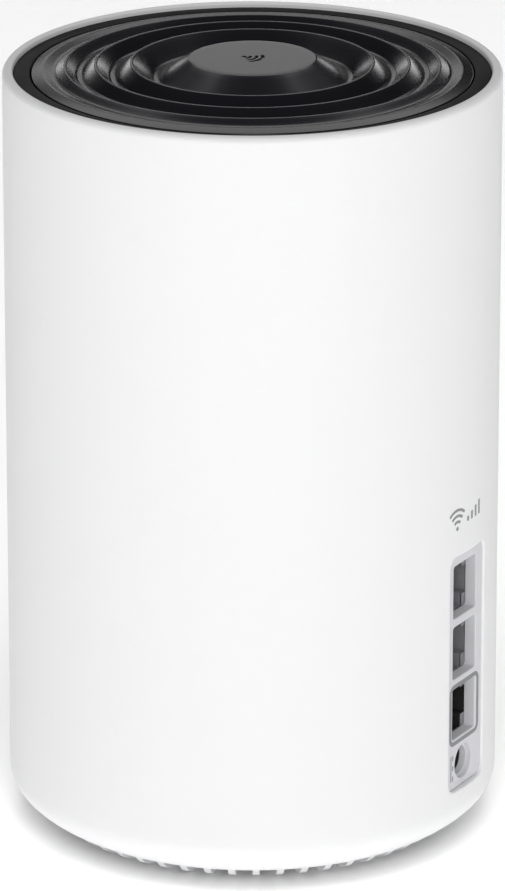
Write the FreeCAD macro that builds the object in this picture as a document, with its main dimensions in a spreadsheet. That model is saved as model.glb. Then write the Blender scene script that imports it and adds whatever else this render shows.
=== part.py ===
"""Mesh wifi node: a round table-top radio unit with a rippled top, built as a parametric FreeCAD document.

Frame: +Z up, origin on the table at the middle of the feet, +Y out through the port panel at the back.
Lengths are in millimetres. Every driving length is a cell of the sizes sheet, listed in SIZES below.
"""
import FreeCAD, Part
import math
import os

import Sketcher
from FreeCAD import Placement, Rotation, Vector

# ---------------------------------------------------------------------------------------------
# Driving dimensions: alias, value, what it is
# ---------------------------------------------------------------------------------------------
SIZES = [
    # whole object
    ("total_height", 169.0, "table to the top of the centre boss"),
    ("shell_radius", 52.5, "outside of the shell"),
    ("shell_wall", 2.2, "thickness of the shell"),
    ("rim_drop", 1.9, "rim of the shell below the centre boss"),
    ("rim_outer_round", 1.45, "rounding of the rim's outer edge"),
    ("rim_inner_round", 0.6, "rounding of the rim's inner edge"),
    ("seam", 0.3, "visible gap between casing parts"),
    ("fit_gap", 0.15, "clearance between parts that slide together"),
    ("soft_edge", 0.25, "rounding of small visible edges"),
    # lower end of the shell
    ("foot_gap", 0.9, "base plate above the table"),
    ("edge_height", 3.9, "lower edge of the shell above the table"),
    ("edge_inset", 6.9, "lower edge of the shell, in from its outside"),
    ("tuck_height", 12.3, "height where the shell starts to tuck in"),
    ("tuck_round", 7.0, "radius of the upper arc of the tuck"),
    ("tuck_turn", 46.0, "turn of the upper arc, in degrees"),
    # ledge under the trim ring
    ("ledge_width", 2.1, "how far the ledge stands in from the wall"),
    ("ledge_depth", 3.0, "top of the ledge below the rim"),
    ("ledge_thick", 2.0, "thickness of the ledge"),
    # trim ring
    ("trim_drop", 1.0, "trim ring below the rim"),
    ("trim_width", 3.5, "width of the trim ring"),
    ("trim_skirt_wall", 1.1, "wall of the ring's skirt"),
    ("trim_skirt_depth", 6.4, "length of the ring's skirt"),
    ("trim_shelf", 2.0, "shelf that the cover's skirt stands on"),
    # rippled cover
    ("boss_radius", 13.4, "flat top of the centre boss"),
    ("valley_one_radius", 20.4, "first valley"),
    ("valley_one_drop", 4.5, "first valley below the boss"),
    ("crest_one_radius", 25.4, "first crest"),
    ("crest_one_drop", 0.6, "first crest below the boss"),
    ("valley_two_radius", 29.4, "second valley"),
    ("valley_two_drop", 4.2, "second valley below the boss"),
    ("crest_two_radius", 32.9, "second crest"),
    ("crest_two_drop", 0.95, "second crest below the boss"),
    ("valley_three_radius", 36.3, "third valley"),
    ("valley_three_drop", 3.8, "third valley below the boss"),
    ("crest_three_radius", 39.3, "third crest"),
    ("crest_three_drop", 1.4, "third crest below the boss"),
    ("valley_four_radius", 41.7, "fourth valley"),
    ("valley_four_drop", 2.9, "fourth valley below the boss"),
    ("land_radius", 44.0, "outer land of the cover"),
    ("land_drop", 2.25, "outer land below the boss"),
    ("cover_wall", 1.8, "thickness of the cover, measured straight down"),
    ("cover_skirt_wall", 1.5, "wall of the cover's skirt"),
    ("cover_skirt_depth", 3.8, "length of the cover's skirt"),
    ("crest_round", 0.6, "rounding of a crest"),
    ("valley_round", 1.5, "rounding of a valley"),
    ("boss_round", 0.9, "rounding of the boss's edge"),
    ("icon_depth", 0.3, "depth of the sunk icon"),
    ("icon_band", 0.55, "width of the icon's strokes"),
    ("icon_pitch", 1.3, "radial pitch of the icon's strokes"),
    ("icon_dot_radius", 0.5, "dot of the icon"),
    ("icon_lean", 45.0, "how far the icon's arcs reach to each side, in degrees"),
    # port window and bezel
    ("window_width", 15.4, "width of the window in the shell"),
    ("window_height", 53.2, "height of the window"),
    ("window_centre", 42.0, "middle of the window above the table"),
    ("window_round", 2.3, "corner radius of the window"),
    ("window_edge_round", 0.35, "rounding of the window's outer edge"),
    ("bezel_recess", 1.05, "face of the bezel, in from the shell's outside"),
    ("bezel_plate", 2.5, "thickness of the bezel's face plate"),
    ("bezel_side_wall", 0.95, "side walls of the bezel"),
    ("flange_reach", 2.2, "how far the flange stands out behind the window"),
    ("flange_thick", 1.4, "thickness of the flange"),
    ("port_across", 0.3, "middle of the ports, along X"),
    ("port_width", 10.2, "sideways size of a network port's opening"),
    ("port_height", 11.8, "upright size of a network port's opening"),
    ("port_pitch", 13.7, "centre to centre of the network ports"),
    ("port_rise", 18.2, "uppermost network port above the window's middle"),
    ("port_round", 0.7, "corner radius of a port's opening"),
    ("power_fall", 21.2, "power socket below the window's middle"),
    ("power_mouth_radius", 3.75, "mouth of the power socket in the bezel"),
    ("power_throat_radius", 3.15, "throat of the power socket in the bezel"),
    ("power_mouth_depth", 1.1, "depth of the mouth before the throat"),
    # network jacks
    ("jack_gap", 0.05, "clearance round a jack's parts"),
    ("jack_depth", 18.0, "depth of a jack"),
    ("jack_height", 13.2, "upright size of a jack"),
    ("jack_stand", 12.6, "jack above the board"),
    ("jack_overhang", 5.4, "jack past the board's edge"),
    ("jack_sheet", 0.25, "sheet of a jack's shield"),
    ("plug_height", 11.6, "upright size of the plug cavity"),
    ("plug_width", 6.8, "sideways size of the plug cavity"),
    ("plug_depth", 13.6, "depth of the plug cavity"),
    ("plug_stand", 3.5, "plug cavity above the board"),
    ("latch_height", 6.2, "upright size of the latch notch"),
    ("latch_width", 2.2, "sideways size of the latch notch"),
    ("comb_height", 8.6, "upright size of the recess behind the contacts"),
    ("comb_depth", 1.3, "recess beside the plug cavity"),
    ("comb_start", 3.0, "front end of the recess behind the jack's face"),
    ("comb_length", 9.0, "length of the recess"),
    ("contact_pitch", 1.02, "pitch of the contact wires"),
    ("contact_thick", 0.34, "thickness of a contact wire"),
    ("contact_length", 7.6, "sloping length of a contact wire"),
    ("contact_slope", 22.0, "slope of a contact wire, in degrees"),
    # power jack
    ("power_jack_size", 8.0, "upright size of the power jack"),
    ("power_jack_depth", 14.0, "depth of the power jack"),
    ("power_jack_stand", 11.2, "power jack above the board"),
    ("power_barrel_radius", 2.85, "bore that takes the plug's sleeve"),
    ("power_barrel_depth", 10.0, "depth of that bore"),
    ("power_pin_radius", 1.05, "centre pin"),
    ("power_pin_sunk", 1.0, "tip of the centre pin behind the jack's face"),
    ("power_pin_root", 3.0, "length of the centre pin's thick root inside its housing"),
    ("power_root_radius", 1.6, "thick root of the centre pin"),
    ("leaf_thick", 0.35, "side contact of the power jack"),
    ("leaf_width", 2.2, "side contact of the power jack"),
    # main board
    ("board_face", -6.5, "component side of the main board, along X"),
    ("board_thick", 1.6, "thickness of the main board"),
    ("board_front", -34.0, "front edge of the main board"),
    ("board_lift", 11.0, "lower edge of the main board above the base plate"),
    ("board_height", 124.0, "height of the main board"),
    ("can_stand", 3.1, "shield cans above the board"),
    ("can_wall", 0.3, "sheet of the shield cans"),
    ("chip_stand", 1.6, "chips above the board"),
    ("pad_thick", 1.0, "thermal pads outside the cans"),
    ("pad_margin", 1.0, "edge of a can outside its thermal pad"),
    ("transformer_half_length", 4.2, "half size of a network transformer, along Y"),
    ("transformer_half_height", 5.0, "half size of a network transformer, upright"),
    ("transformer_inset", 2.0, "middle of the transformers, in from the component-side sink's edge"),
    ("inductor_half", 3.5, "half size of a power inductor"),
    ("inductor_stand", 4.5, "power inductor above the board"),
    ("inductor_along", 4.0, "first power inductor, along Y"),
    ("inductor_pitch", 9.0, "pitch of the power inductors"),
    ("capacitor_radius", 2.5, "capacitor"),
    ("capacitor_stand", 7.0, "capacitor above the board"),
    ("capacitor_front", -22.0, "single capacitor, along Y"),
    ("capacitor_back", 21.0, "first of the pair of capacitors, along Y"),
    ("capacitor_pitch", 6.0, "pitch of the pair of capacitors"),
    # heat sinks
    ("sink_plate", 2.5, "base plates of the heat sinks"),
    ("sink_rise", 16.0, "lower end of the heat sinks above the board's lower edge"),
    ("sink_height", 98.0, "height of the heat sinks"),
    ("sink_half_width", 27.0, "half width of the component-side sink"),
    ("sink_fin_length", 25.5, "fins of the component-side sink"),
    ("sink_fins", 9, "fins of the component-side sink"),
    ("rear_half_width", 20.0, "half width of the solder-side sink"),
    ("rear_fin_length", 16.0, "fins of the solder-side sink"),
    ("rear_fins", 7, "fins of the solder-side sink"),
    ("fin_thick", 1.4, "fins of both sinks"),
    ("sink_screw_across", 15.0, "sink screws, along Y"),
    ("sink_screw_margin", 4.0, "sink screws, in from the sink's ends"),
    # frame
    ("frame_inset", 5.3, "frame's rings, in from the inside of the shell"),
    ("lower_hole_radius", 18.0, "inside of the frame's lower ring"),
    ("upper_hole_radius", 22.0, "inside of the frame's upper ring"),
    ("ring_thick", 2.5, "thickness of the frame's rings"),
    ("lower_ring_height", 9.1, "underside of the lower ring"),
    ("upper_ring_drop", 19.0, "underside of the upper ring below the centre boss"),
    ("post_width", 10.0, "width of an antenna post"),
    ("post_thick", 3.0, "thickness of an antenna post"),
    ("rail_width", 6.5, "width of the front board rail"),
    ("back_rail_width", 5.9, "width of the back board rail"),
    ("rail_thick", 4.8, "thickness of a board rail"),
    ("rail_grip", 3.0, "how far a rail reaches over the board's edge"),
    ("back_rail_start", 76.0, "lower end of the back rail"),
    # base cover
    ("base_wall", 2.2, "thickness of the base plate"),
    ("base_flat_radius", 39.5, "flat underside of the base"),
    ("spigot_wall", 1.8, "wall of the spigot that centres the shell"),
    ("spigot_top", 8.9, "top of the spigot"),
    ("vent_count", 54, "vent slots round the base"),
    ("vent_inner_radius", 32.2, "inner end of the vent slots"),
    ("vent_rib", 1.5, "rib between two slots"),
    ("vent_top", 5.3, "top of the vent slots"),
    # feet, label and screws
    ("foot_radius", 5.5, "rubber foot"),
    ("foot_sunk", 0.8, "depth of a foot's recess"),
    ("foot_circle", 24.0, "circle of the feet and base screws"),
    ("foot_round", 0.5, "rounding of a foot's lower edge"),
    ("label_length", 26.0, "label, along X"),
    ("label_width", 16.0, "label, along Y"),
    ("label_thick", 0.15, "label"),
    ("screw_shank_radius", 1.45, "self-tapping screw"),
    ("screw_head_radius", 2.7, "screw head"),
    ("screw_head_thick", 1.9, "screw head"),
    ("screw_gap", 0.05, "radial gap round a screw"),
    ("screw_bite", 8.0, "length of a screw past its clamped part"),
    ("screw_relief", 2.0, "empty end of a base screw's hole"),
    ("boss_wall", 1.8, "wall round a screw"),
    ("base_boss_radius", 4.6, "boss round a base screw"),
    ("drive_share", 0.4, "recess in a screw head, as a share of the head's radius"),
    ("drive_depth", 1.0, "depth of the recess in a screw head"),
    # service board with reset switch and lamp
    ("service_lift", 3.1, "service board above the base plate"),
    ("service_thick", 1.2, "service board"),
    ("service_half_width", 12.0, "half width of the service board"),
    ("service_front", -31.5, "front edge of the service board"),
    ("service_back", -8.0, "back edge of the service board"),
    ("service_post_across", 9.3, "posts of the service board, along X"),
    ("service_post_along", -26.5, "posts of the service board, along Y"),
    ("small_shank_radius", 0.95, "service board screws"),
    ("small_head_radius", 1.7, "service board screws"),
    ("small_head_thick", 1.2, "service board screws"),
    ("reset_across", 6.0, "reset plunger, along X"),
    ("reset_along", -19.0, "reset plunger, along Y"),
    ("reset_radius", 1.1, "reset plunger"),
    ("reset_gap", 0.08, "radial clearance of the reset plunger"),
    ("reset_collar_radius", 1.9, "collar of the reset plunger"),
    ("reset_collar_thick", 0.6, "collar of the reset plunger"),
    ("reset_sunk", 0.8, "tip of the plunger inside the base"),
    ("reset_travel", 0.5, "travel of the reset plunger"),
    ("switch_height", 1.5, "reset switch below the service board"),
    ("switch_half", 2.6, "half width of the reset switch"),
    ("guide_half_length", 4.0, "half length of the light guide"),
    ("guide_half_width", 1.5, "half width of the light guide"),
    ("guide_along", -27.0, "light guide, along Y"),
    ("guide_collar", 0.8, "collar of the light guide"),
    ("guide_round_share", 0.98, "rounding of the light guide's ends, as a share of its half width"),
    ("lamp_height", 1.0, "lamp below the service board"),
    ("lamp_half_length", 1.5, "half length of the lamp"),
    ("lamp_half_width", 1.0, "half width of the lamp"),
    # ribbon between the boards
    ("ribbon_along", -12.5, "ribbon, along Y"),
    ("ribbon_half_width", 2.0, "half width of the ribbon"),
    ("ribbon_thick", 0.5, "thickness of the ribbon"),
    ("ribbon_stand", 1.4, "ribbon above the main board"),
    ("plug_block", 3.6, "height of the ribbon's connectors"),
    ("plug_margin", 0.6, "connector past each edge of the ribbon"),
    # antennas and their cables
    ("antenna_width", 15.0, "antenna plate"),
    ("antenna_height", 38.0, "antenna plate"),
    ("antenna_thick", 0.4, "antenna plate"),
    ("antenna_drop", 27.0, "top of the antenna plates below the centre boss"),
    ("cable_radius", 0.57, "coaxial cable"),
    ("cable_bend", 3.5, "bend radius of a coaxial cable"),
    ("cable_drop", 29.0, "level run of the cables below the centre boss"),
    ("cable_turn_radius", 34.0, "where a cable turns out towards its antenna"),
    ("coax_radius", 1.3, "coaxial connector"),
    ("coax_stand", 1.3, "coaxial connector above the board"),
    ("coax_below_top", 5.5, "coaxial connectors below the board's upper edge"),
    ("coax_outer", 22.0, "outer coaxial connectors, along Y"),
    ("coax_inner", 8.0, "inner coaxial connectors, along Y"),
]

# Blocks laid against the main board: name, middle along Y, middle above the sinks' lower end, and half sizes
# along Y and upright. Each number becomes a cell too.
LAID_BLOCKS = [
    ("wide_can", -1.5, 52.0, 19.0, 20.0),
    ("front_can", -13.0, 83.0, 11.0, 7.0),
    ("back_can", 13.0, 83.0, 9.0, 7.0),
    ("processor", -1.0, 52.0, 8.5, 8.5),
    ("low_memory", -14.0, 42.0, 3.5, 6.0),
    ("high_memory", -14.0, 60.0, 3.5, 6.0),
    ("back_memory", 12.0, 42.0, 3.5, 5.0),
    ("front_radio", -13.0, 83.0, 4.5, 4.5),
    ("back_radio", 13.0, 83.0, 4.5, 4.5),
    ("rear_pad", 0.0, 55.0, 12.0, 19.0),
]
BLOCK_SIZES = (("along", "middle along Y"), ("up", "middle above the sinks' lower end"),
               ("half_length", "half size along Y"), ("half_height", "half size upright"))
for block_name, *numbers in LAID_BLOCKS:
    SIZES += [(f"{block_name}_{part}", number, f"{block_name}: {meaning}")
              for (part, meaning), number in zip(BLOCK_SIZES, numbers)]

CONTACTS = 8
ICON_ARCS = 3
POST_ANGLES = (45, 135, 225, 315)
# How near two lengths in millimetres must be to count as the same when an edge is looked for
NEAR = 0.01

doc = FreeCAD.newDocument("mesh_wifi_node")
sheet = doc.addObject("Spreadsheet::Sheet", "sizes")
for row, (alias, value, meaning) in enumerate(SIZES, start=1):
    sheet.set(f"A{row}", meaning)
    sheet.set(f"B{row}", str(value))
    sheet.setAlias(f"B{row}", alias)
doc.recompute()


class Size:
    """A length that carries its present number and the cell formula that drives it."""

    def __init__(self, number, formula=None):
        self.number = float(number)
        self.formula = f"{float(number):.9g}" if formula is None else formula

    def join(self, sign, other, number):
        return Size(number, f"({self.formula} {sign} {other.formula})")

    def __add__(self, other):
        other = size(other)
        return self.join("+", other, self.number + other.number)

    def __sub__(self, other):
        other = size(other)
        return self.join("-", other, self.number - other.number)

    def __mul__(self, other):
        other = size(other)
        return self.join("*", other, self.number * other.number)

    def __truediv__(self, other):
        other = size(other)
        return self.join("/", other, self.number / other.number)

    def __neg__(self):
        return self * -1

    def sqrt(self):
        return Size(math.sqrt(self.number), f"sqrt({self.formula})")

    def cos(self):
        return Size(math.cos(math.radians(self.number)), f"cos({self.formula})")

    def sin(self):
        return Size(math.sin(math.radians(self.number)), f"sin({self.formula})")

    def tan(self):
        return Size(math.tan(math.radians(self.number)), f"tan({self.formula})")


def size(value):
    """A Size from a Size or a plain number."""
    return value if isinstance(value, Size) else Size(value)


class Cells:
    """Reads the sheet's cells by alias, so that cells.shell_wall is the Size of that cell."""

    def __getattr__(self, alias):
        return Size(sheet.get(alias), f"sizes.{alias}")


cells = Cells()
pieces = []


def bind(thing, name, value):
    """Drives a property of an object by a Size."""
    thing.setExpression(name, size(value).formula)


def keep(label, thing):
    """Marks an object as a sub-part that is written out under its label."""
    thing.Label = label
    pieces.append(thing)
    return thing


# ---------------------------------------------------------------------------------------------
# PartDesign helpers
# ---------------------------------------------------------------------------------------------
# Which way a sketch on each origin plane faces along the plane's own axis: +Z, -Y and +X.
NORMAL_SIGN = {"XY_Plane": 1, "XZ_Plane": -1, "YZ_Plane": 1}


def new_body(name):
    """An empty PartDesign body."""
    return doc.addObject("PartDesign::Body", name)


def origin_feature(body, role):
    """The body's own origin plane or axis with that role."""
    return [feature for feature in body.Origin.OriginFeatures if feature.Role == role][0]


def new_sketch(body, plane, height=0.0):
    """A sketch parallel to one of the body's origin planes, that far along the plane's positive axis."""
    sketch = body.newObject("Sketcher::SketchObject", "sketch")
    sketch.AttachmentSupport = [(origin_feature(body, plane), "")]
    sketch.MapMode = "FlatFace"
    bind(sketch, "AttachmentOffset.Base.z", size(height) * NORMAL_SIGN[plane])
    return sketch


def constrain(sketch, *words, by=None):
    """Adds a constraint, driven by a Size where it has one."""
    if by is None:
        return sketch.addConstraint(Sketcher.Constraint(*words))
    index = sketch.addConstraint(Sketcher.Constraint(*words, by.number))
    sketch.setExpression(f"Constraints[{index}]", by.formula)
    return index


def hold(sketch, geometry, point, across, up):
    """Holds a point of a sketch at two coordinates."""
    for value, kind, axis in ((size(across), "DistanceX", -2), (size(up), "DistanceY", -1)):
        if abs(value.number) < 1e-9:
            constrain(sketch, "PointOnObject", geometry, point, axis)
        else:
            constrain(sketch, kind, -1, 1, geometry, point, by=value)


def arc_between(start, end, radius):
    """The short arc from start to end, anticlockwise for a positive radius and clockwise for a negative one,
    and whether its first point is the start."""
    chord = Vector(end[0] - start[0], end[1] - start[1], 0)
    middle = Vector(start[0] + end[0], start[1] + end[1], 0) * 0.5
    rise = math.sqrt(radius ** 2 - chord.Length ** 2 / 4)
    side = Vector(-chord.y, chord.x, 0).normalize() * math.copysign(rise, radius)
    centre = middle + side
    first, last = (start, end) if radius > 0 else (end, start)
    angles = [math.atan2(point[1] - centre.y, point[0] - centre.x) for point in (first, last)]
    ring = Part.Circle(centre, Vector(0, 0, 1), abs(radius))
    return Part.ArcOfCircle(ring, *angles), radius > 0


def outline(sketch, corners):
    """A closed outline. Each corner is (across, up) and is held there. A third value makes the edge that
    leaves the corner an arc of that radius, anticlockwise where it is positive."""
    corners = [tuple(size(value) for value in corner) for corner in corners]
    edges = []
    for corner, following in zip(corners, corners[1:] + corners[:1]):
        start = (corner[0].number, corner[1].number)
        end = (following[0].number, following[1].number)
        if len(corner) == 2:
            index = sketch.addGeometry(Part.LineSegment(Vector(*start, 0), Vector(*end, 0)))
            edges.append((index, 1, 2))
            continue
        arc, forwards = arc_between(start, end, corner[2].number)
        index = sketch.addGeometry(arc)
        edges.append((index, 1, 2) if forwards else (index, 2, 1))
        constrain(sketch, "Radius", index, by=corner[2] if forwards else -corner[2])
    for edge, following, corner in zip(edges, edges[1:] + edges[:1], corners[1:] + corners[:1]):
        constrain(sketch, "Coincident", edge[0], edge[2], following[0], following[1])
        hold(sketch, following[0], following[1], corner[0], corner[1])


def circle(sketch, across, up, radius):
    """A circle held by its centre and radius."""
    across, up, radius = size(across), size(up), size(radius)
    ring = Part.Circle(Vector(across.number, up.number, 0), Vector(0, 0, 1), radius.number)
    index = sketch.addGeometry(ring)
    hold(sketch, index, 3, across, up)
    constrain(sketch, "Radius", index, by=radius)


def rectangle(sketch, across, up, width, height, radius):
    """A rectangle with rounded corners, from its centre, width, height and corner radius."""
    across, up, width, height, radius = (size(value) for value in (across, up, width, height, radius))
    left, right = across - width / 2, across + width / 2
    low, high = up - height / 2, up + height / 2
    outline(sketch, [
        (left + radius, low), (right - radius, low, radius), (right, low + radius), (right, high - radius, radius),
        (right - radius, high), (left + radius, high, radius), (left, high - radius), (left, low + radius, radius)])


def add_feature(body, kind, sketch):
    """A feature of the body that uses a sketch."""
    feature = body.newObject(f"PartDesign::{kind}", kind.lower())
    feature.Profile = sketch
    sketch.Visibility = False
    return feature


def revolve(body, corners):
    """Turns an outline of (radius, height) corners about Z."""
    sketch = new_sketch(body, "XZ_Plane")
    outline(sketch, corners)
    feature = add_feature(body, "Revolution", sketch)
    feature.ReferenceAxis = (sketch, ["V_Axis"])
    feature.Angle = 360
    doc.recompute()
    return feature


def pad(body, plane, low, high, draw):
    """Adds what draw(sketch) draws, from low to high along the plane's positive axis."""
    sketch = new_sketch(body, plane, low)
    draw(sketch)
    feature = add_feature(body, "Pad", sketch)
    bind(feature, "Length", size(high) - low)
    feature.Reversed = NORMAL_SIGN[plane] < 0
    doc.recompute()
    return feature


def pocket(body, plane, low, high, draw):
    """Cuts what draw(sketch) draws, from low to high along the plane's positive axis."""
    before = body.Shape.Volume
    sketch = new_sketch(body, plane, low)
    draw(sketch)
    feature = add_feature(body, "Pocket", sketch)
    bind(feature, "Length", size(high) - low)
    feature.Reversed = NORMAL_SIGN[plane] > 0
    doc.recompute()
    if body.Shape.Volume > before - 1e-6:
        raise RuntimeError(f"a pocket of {body.Name} cuts nothing")
    return feature


def round_edges(body, radius, wanted):
    """Rounds the edges of the body for which wanted(edge) is true."""
    base = body.Tip
    names = [f"Edge{number}" for number, edge in enumerate(base.Shape.Edges, start=1) if wanted(edge)]
    if not names:
        raise RuntimeError(f"{body.Name} has no edge to round")
    fillet = body.newObject("PartDesign::Fillet", "fillet")
    fillet.Base = (base, names)
    bind(fillet, "Radius", radius)
    doc.recompute()
    return fillet


def is_ring(edge, radius, height):
    """True for a full circle about Z with that radius and height."""
    curve = edge.Curve
    if curve.TypeId != "Part::GeomCircle" or len(edge.Vertexes) > 1:
        return False
    centred = math.hypot(curve.Center.x, curve.Center.y) < NEAR
    return centred and abs(curve.Radius - radius.number) < NEAR and abs(curve.Center.z - height.number) < NEAR


# ---------------------------------------------------------------------------------------------
# Part primitives
# ---------------------------------------------------------------------------------------------
def box(name, across, along, up):
    """A block from (low, high) pairs along X, Y and Z."""
    block = doc.addObject("Part::Box", name)
    for side, axis, (low, high) in (("Length", "x", across), ("Width", "y", along), ("Height", "z", up)):
        bind(block, side, size(high) - low)
        bind(block, f"Placement.Base.{axis}", low)
    return block


def turned_box(name, angle, outward, sideways, up):
    """A block from (low, high) pairs outward from Z, sideways and along Z, turned about Z by an angle."""
    block = doc.addObject("Part::Box", name)
    for side, (low, high) in (("Length", outward), ("Width", sideways), ("Height", up)):
        bind(block, side, size(high) - low)
    block.Placement = Placement(Vector(), Rotation(Vector(0, 0, 1), angle))
    turn = Size(angle)
    bind(block, "Placement.Base.x", turn.cos() * outward[0] - turn.sin() * sideways[0])
    bind(block, "Placement.Base.y", turn.sin() * outward[0] + turn.cos() * sideways[0])
    bind(block, "Placement.Base.z", up[0])
    return block


# How a cylinder, made along Z, is turned to lie along each axis.
AXIS_TURN = {"x": Rotation(Vector(0, 1, 0), 90), "y": Rotation(Vector(1, 0, 0), -90), "z": Rotation()}


def rod(name, radius, axis, span, first, second):
    """A cylinder along an axis over a (low, high) span; first and second are its other two coordinates."""
    cylinder = doc.addObject("Part::Cylinder", name)
    bind(cylinder, "Radius", radius)
    bind(cylinder, "Height", size(span[1]) - span[0])
    cylinder.Placement = Placement(Vector(), AXIS_TURN[axis])
    others = iter((first, second))
    for letter in "xyz":
        bind(cylinder, f"Placement.Base.{letter}", span[0] if letter == axis else next(others))
    return cylinder


def fuse(name, shapes):
    """One solid of several that overlap or touch."""
    joined = doc.addObject("Part::MultiFuse", name)
    joined.Shapes = list(shapes)
    joined.Refine = True
    return joined


def cut(name, base, tools):
    """The base less the tools."""
    tools = list(tools)
    result = doc.addObject("Part::Cut", name)
    result.Base = base
    result.Tool = tools[0] if len(tools) == 1 else fuse(name + "_tools", tools)
    return result


def group(name, shapes):
    """Separate solids that share one node."""
    together = doc.addObject("Part::Compound", name)
    together.Links = list(shapes)
    return together


def screw(name, axis, tip, seat, first, second, radii=None, thick=None):
    """A screw along an axis: the shank runs from tip to seat, and the head lies beyond the seat."""
    shank, head = radii or (cells.screw_shank_radius, cells.screw_head_radius)
    thick = thick or cells.screw_head_thick
    upward = size(seat).number > size(tip).number
    top = seat + thick if upward else seat - thick
    floor = top - cells.drive_depth if upward else top + cells.drive_depth

    def span(one, other):
        return (one, other) if upward else (other, one)

    whole = fuse(f"{name}_blank", [rod(f"{name}_shank", shank, axis, span(tip, seat), first, second),
                                   rod(f"{name}_head", head, axis, span(seat, top), first, second)])
    return cut(name, whole, [rod(f"{name}_drive", head * cells.drive_share, axis, span(floor, top), first, second)])


# ---------------------------------------------------------------------------------------------
# Heights and radii that several pieces share
# ---------------------------------------------------------------------------------------------
boss_top = cells.total_height
rim_top = boss_top - cells.rim_drop
trim_top = rim_top - cells.trim_drop
ledge_top = rim_top - cells.ledge_depth
shell_inner = cells.shell_radius - cells.shell_wall
edge_radius = cells.shell_radius - cells.edge_inset
frame_radius = shell_inner - cells.frame_inset
trim_outer = shell_inner - cells.fit_gap
trim_inner = trim_outer - cells.trim_width
cover_radius = trim_inner - cells.seam
base_top = cells.foot_gap + cells.base_wall
lower_ring = (cells.lower_ring_height, cells.lower_ring_height + cells.ring_thick)
upper_ring = (boss_top - cells.upper_ring_drop, boss_top - cells.upper_ring_drop + cells.ring_thick)
bezel_face = cells.shell_radius - cells.bezel_recess
flange_half = cells.window_width / 2 + cells.flange_reach
flange_front = (shell_inner * shell_inner - flange_half * flange_half).sqrt() - cells.fit_gap
bezel_back = flange_front - cells.flange_thick
jack_front = bezel_face - cells.bezel_plate - cells.jack_gap
ports = [cells.window_centre + cells.port_rise - cells.port_pitch * number for number in range(3)]
power_height = cells.window_centre - cells.power_fall
board_back_face = cells.board_face - cells.board_thick
board_end = jack_front - cells.jack_overhang
board = (base_top + cells.board_lift, base_top + cells.board_lift + cells.board_height)
sink = (board[0] + cells.sink_rise, board[0] + cells.sink_rise + cells.sink_height)
can_top = cells.board_face + cells.can_stand
sink_face = can_top + cells.pad_thick
sink_back = sink_face + cells.sink_plate
rear_face = board_back_face - cells.pad_thick
rear_back = rear_face - cells.sink_plate
screw_hole = cells.screw_shank_radius + cells.screw_gap
screw_boss = cells.screw_shank_radius + cells.boss_wall
service = (base_top + cells.service_lift, base_top + cells.service_lift + cells.service_thick)
half_root = Size(0.5).sqrt()
QUARTERS = ((1, 1), (-1, 1), (-1, -1), (1, -1))
base_screws = [(cells.foot_circle * half_root * sx, cells.foot_circle * half_root * sy) for sx, sy in QUARTERS]
cover_screws = [(cells.valley_two_radius * half_root * sx, cells.valley_two_radius * half_root * sy)
                for sx, sy in QUARTERS]
sink_screws = [(cells.sink_screw_across * side, height) for side in (-1, 1)
               for height in (sink[0] + cells.sink_screw_margin, sink[1] - cells.sink_screw_margin)]


def circles(places, radius):
    """A drawing of equal circles."""
    return lambda sketch: [circle(sketch, across, up, radius) for across, up in places]


# ---------------------------------------------------------------------------------------------
# Casing
# ---------------------------------------------------------------------------------------------
def make_shell():
    """The white outer shell: a tube with a ledge inside its rim, tucked in below by two tangent arcs, with the
    port window in its back. The lower arc's radius follows from its tangency and its end at the edge."""
    turn = (cells.tuck_turn.cos(), -cells.tuck_turn.sin())
    upper = (cells.shell_radius - cells.tuck_round, cells.tuck_height)
    span = (edge_radius - upper[0], cells.edge_height - upper[1])
    along = span[0] * turn[0] + span[1] * turn[1]
    square = span[0] * span[0] + span[1] * span[1]
    shift = (cells.tuck_round * cells.tuck_round - square) / ((along - cells.tuck_round) * 2)
    lower_round = cells.tuck_round + shift
    lower = (upper[0] - turn[0] * shift, upper[1] - turn[1] * shift)

    def on_upper(radius):
        return upper[0] + turn[0] * radius, upper[1] + turn[1] * radius

    edge_way = ((edge_radius - lower[0]) / lower_round, (cells.edge_height - lower[1]) / lower_round)
    inner_round = lower_round - cells.shell_wall
    edge_inner = (lower[0] + edge_way[0] * inner_round, lower[1] + edge_way[1] * inner_round)
    under_ledge = ledge_top - cells.ledge_thick
    body = new_body("shell")
    revolve(body, [
        (edge_radius, cells.edge_height, lower_round), (*on_upper(cells.tuck_round), cells.tuck_round),
        (cells.shell_radius, cells.tuck_height), (cells.shell_radius, rim_top), (shell_inner, rim_top),
        (shell_inner, ledge_top), (shell_inner - cells.ledge_width, ledge_top),
        (shell_inner - cells.ledge_width, under_ledge), (shell_inner, under_ledge - cells.ledge_width),
        (shell_inner, cells.tuck_height, cells.shell_wall - cells.tuck_round),
        (*on_upper(cells.tuck_round - cells.shell_wall), -inner_round), edge_inner])
    round_edges(body, cells.rim_outer_round, lambda edge: is_ring(edge, cells.shell_radius, rim_top))
    round_edges(body, cells.rim_inner_round, lambda edge: is_ring(edge, shell_inner, rim_top))
    pocket(body, "XZ_Plane", bezel_back, cells.shell_radius + cells.seam, lambda sketch: rectangle(
        sketch, 0, cells.window_centre, cells.window_width, cells.window_height, cells.window_round))

    def on_window(edge):
        reach = cells.window_width.number / 2 + NEAR
        middle = edge.valueAt((edge.FirstParameter + edge.LastParameter) / 2)
        outside = abs(math.hypot(middle.x, middle.y) - cells.shell_radius.number) < NEAR
        return outside and middle.y > 0 and edge.BoundBox.XMin > -reach and edge.BoundBox.XMax < reach

    round_edges(body, cells.window_edge_round, on_window)
    keep("outer_shell", body)


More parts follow.
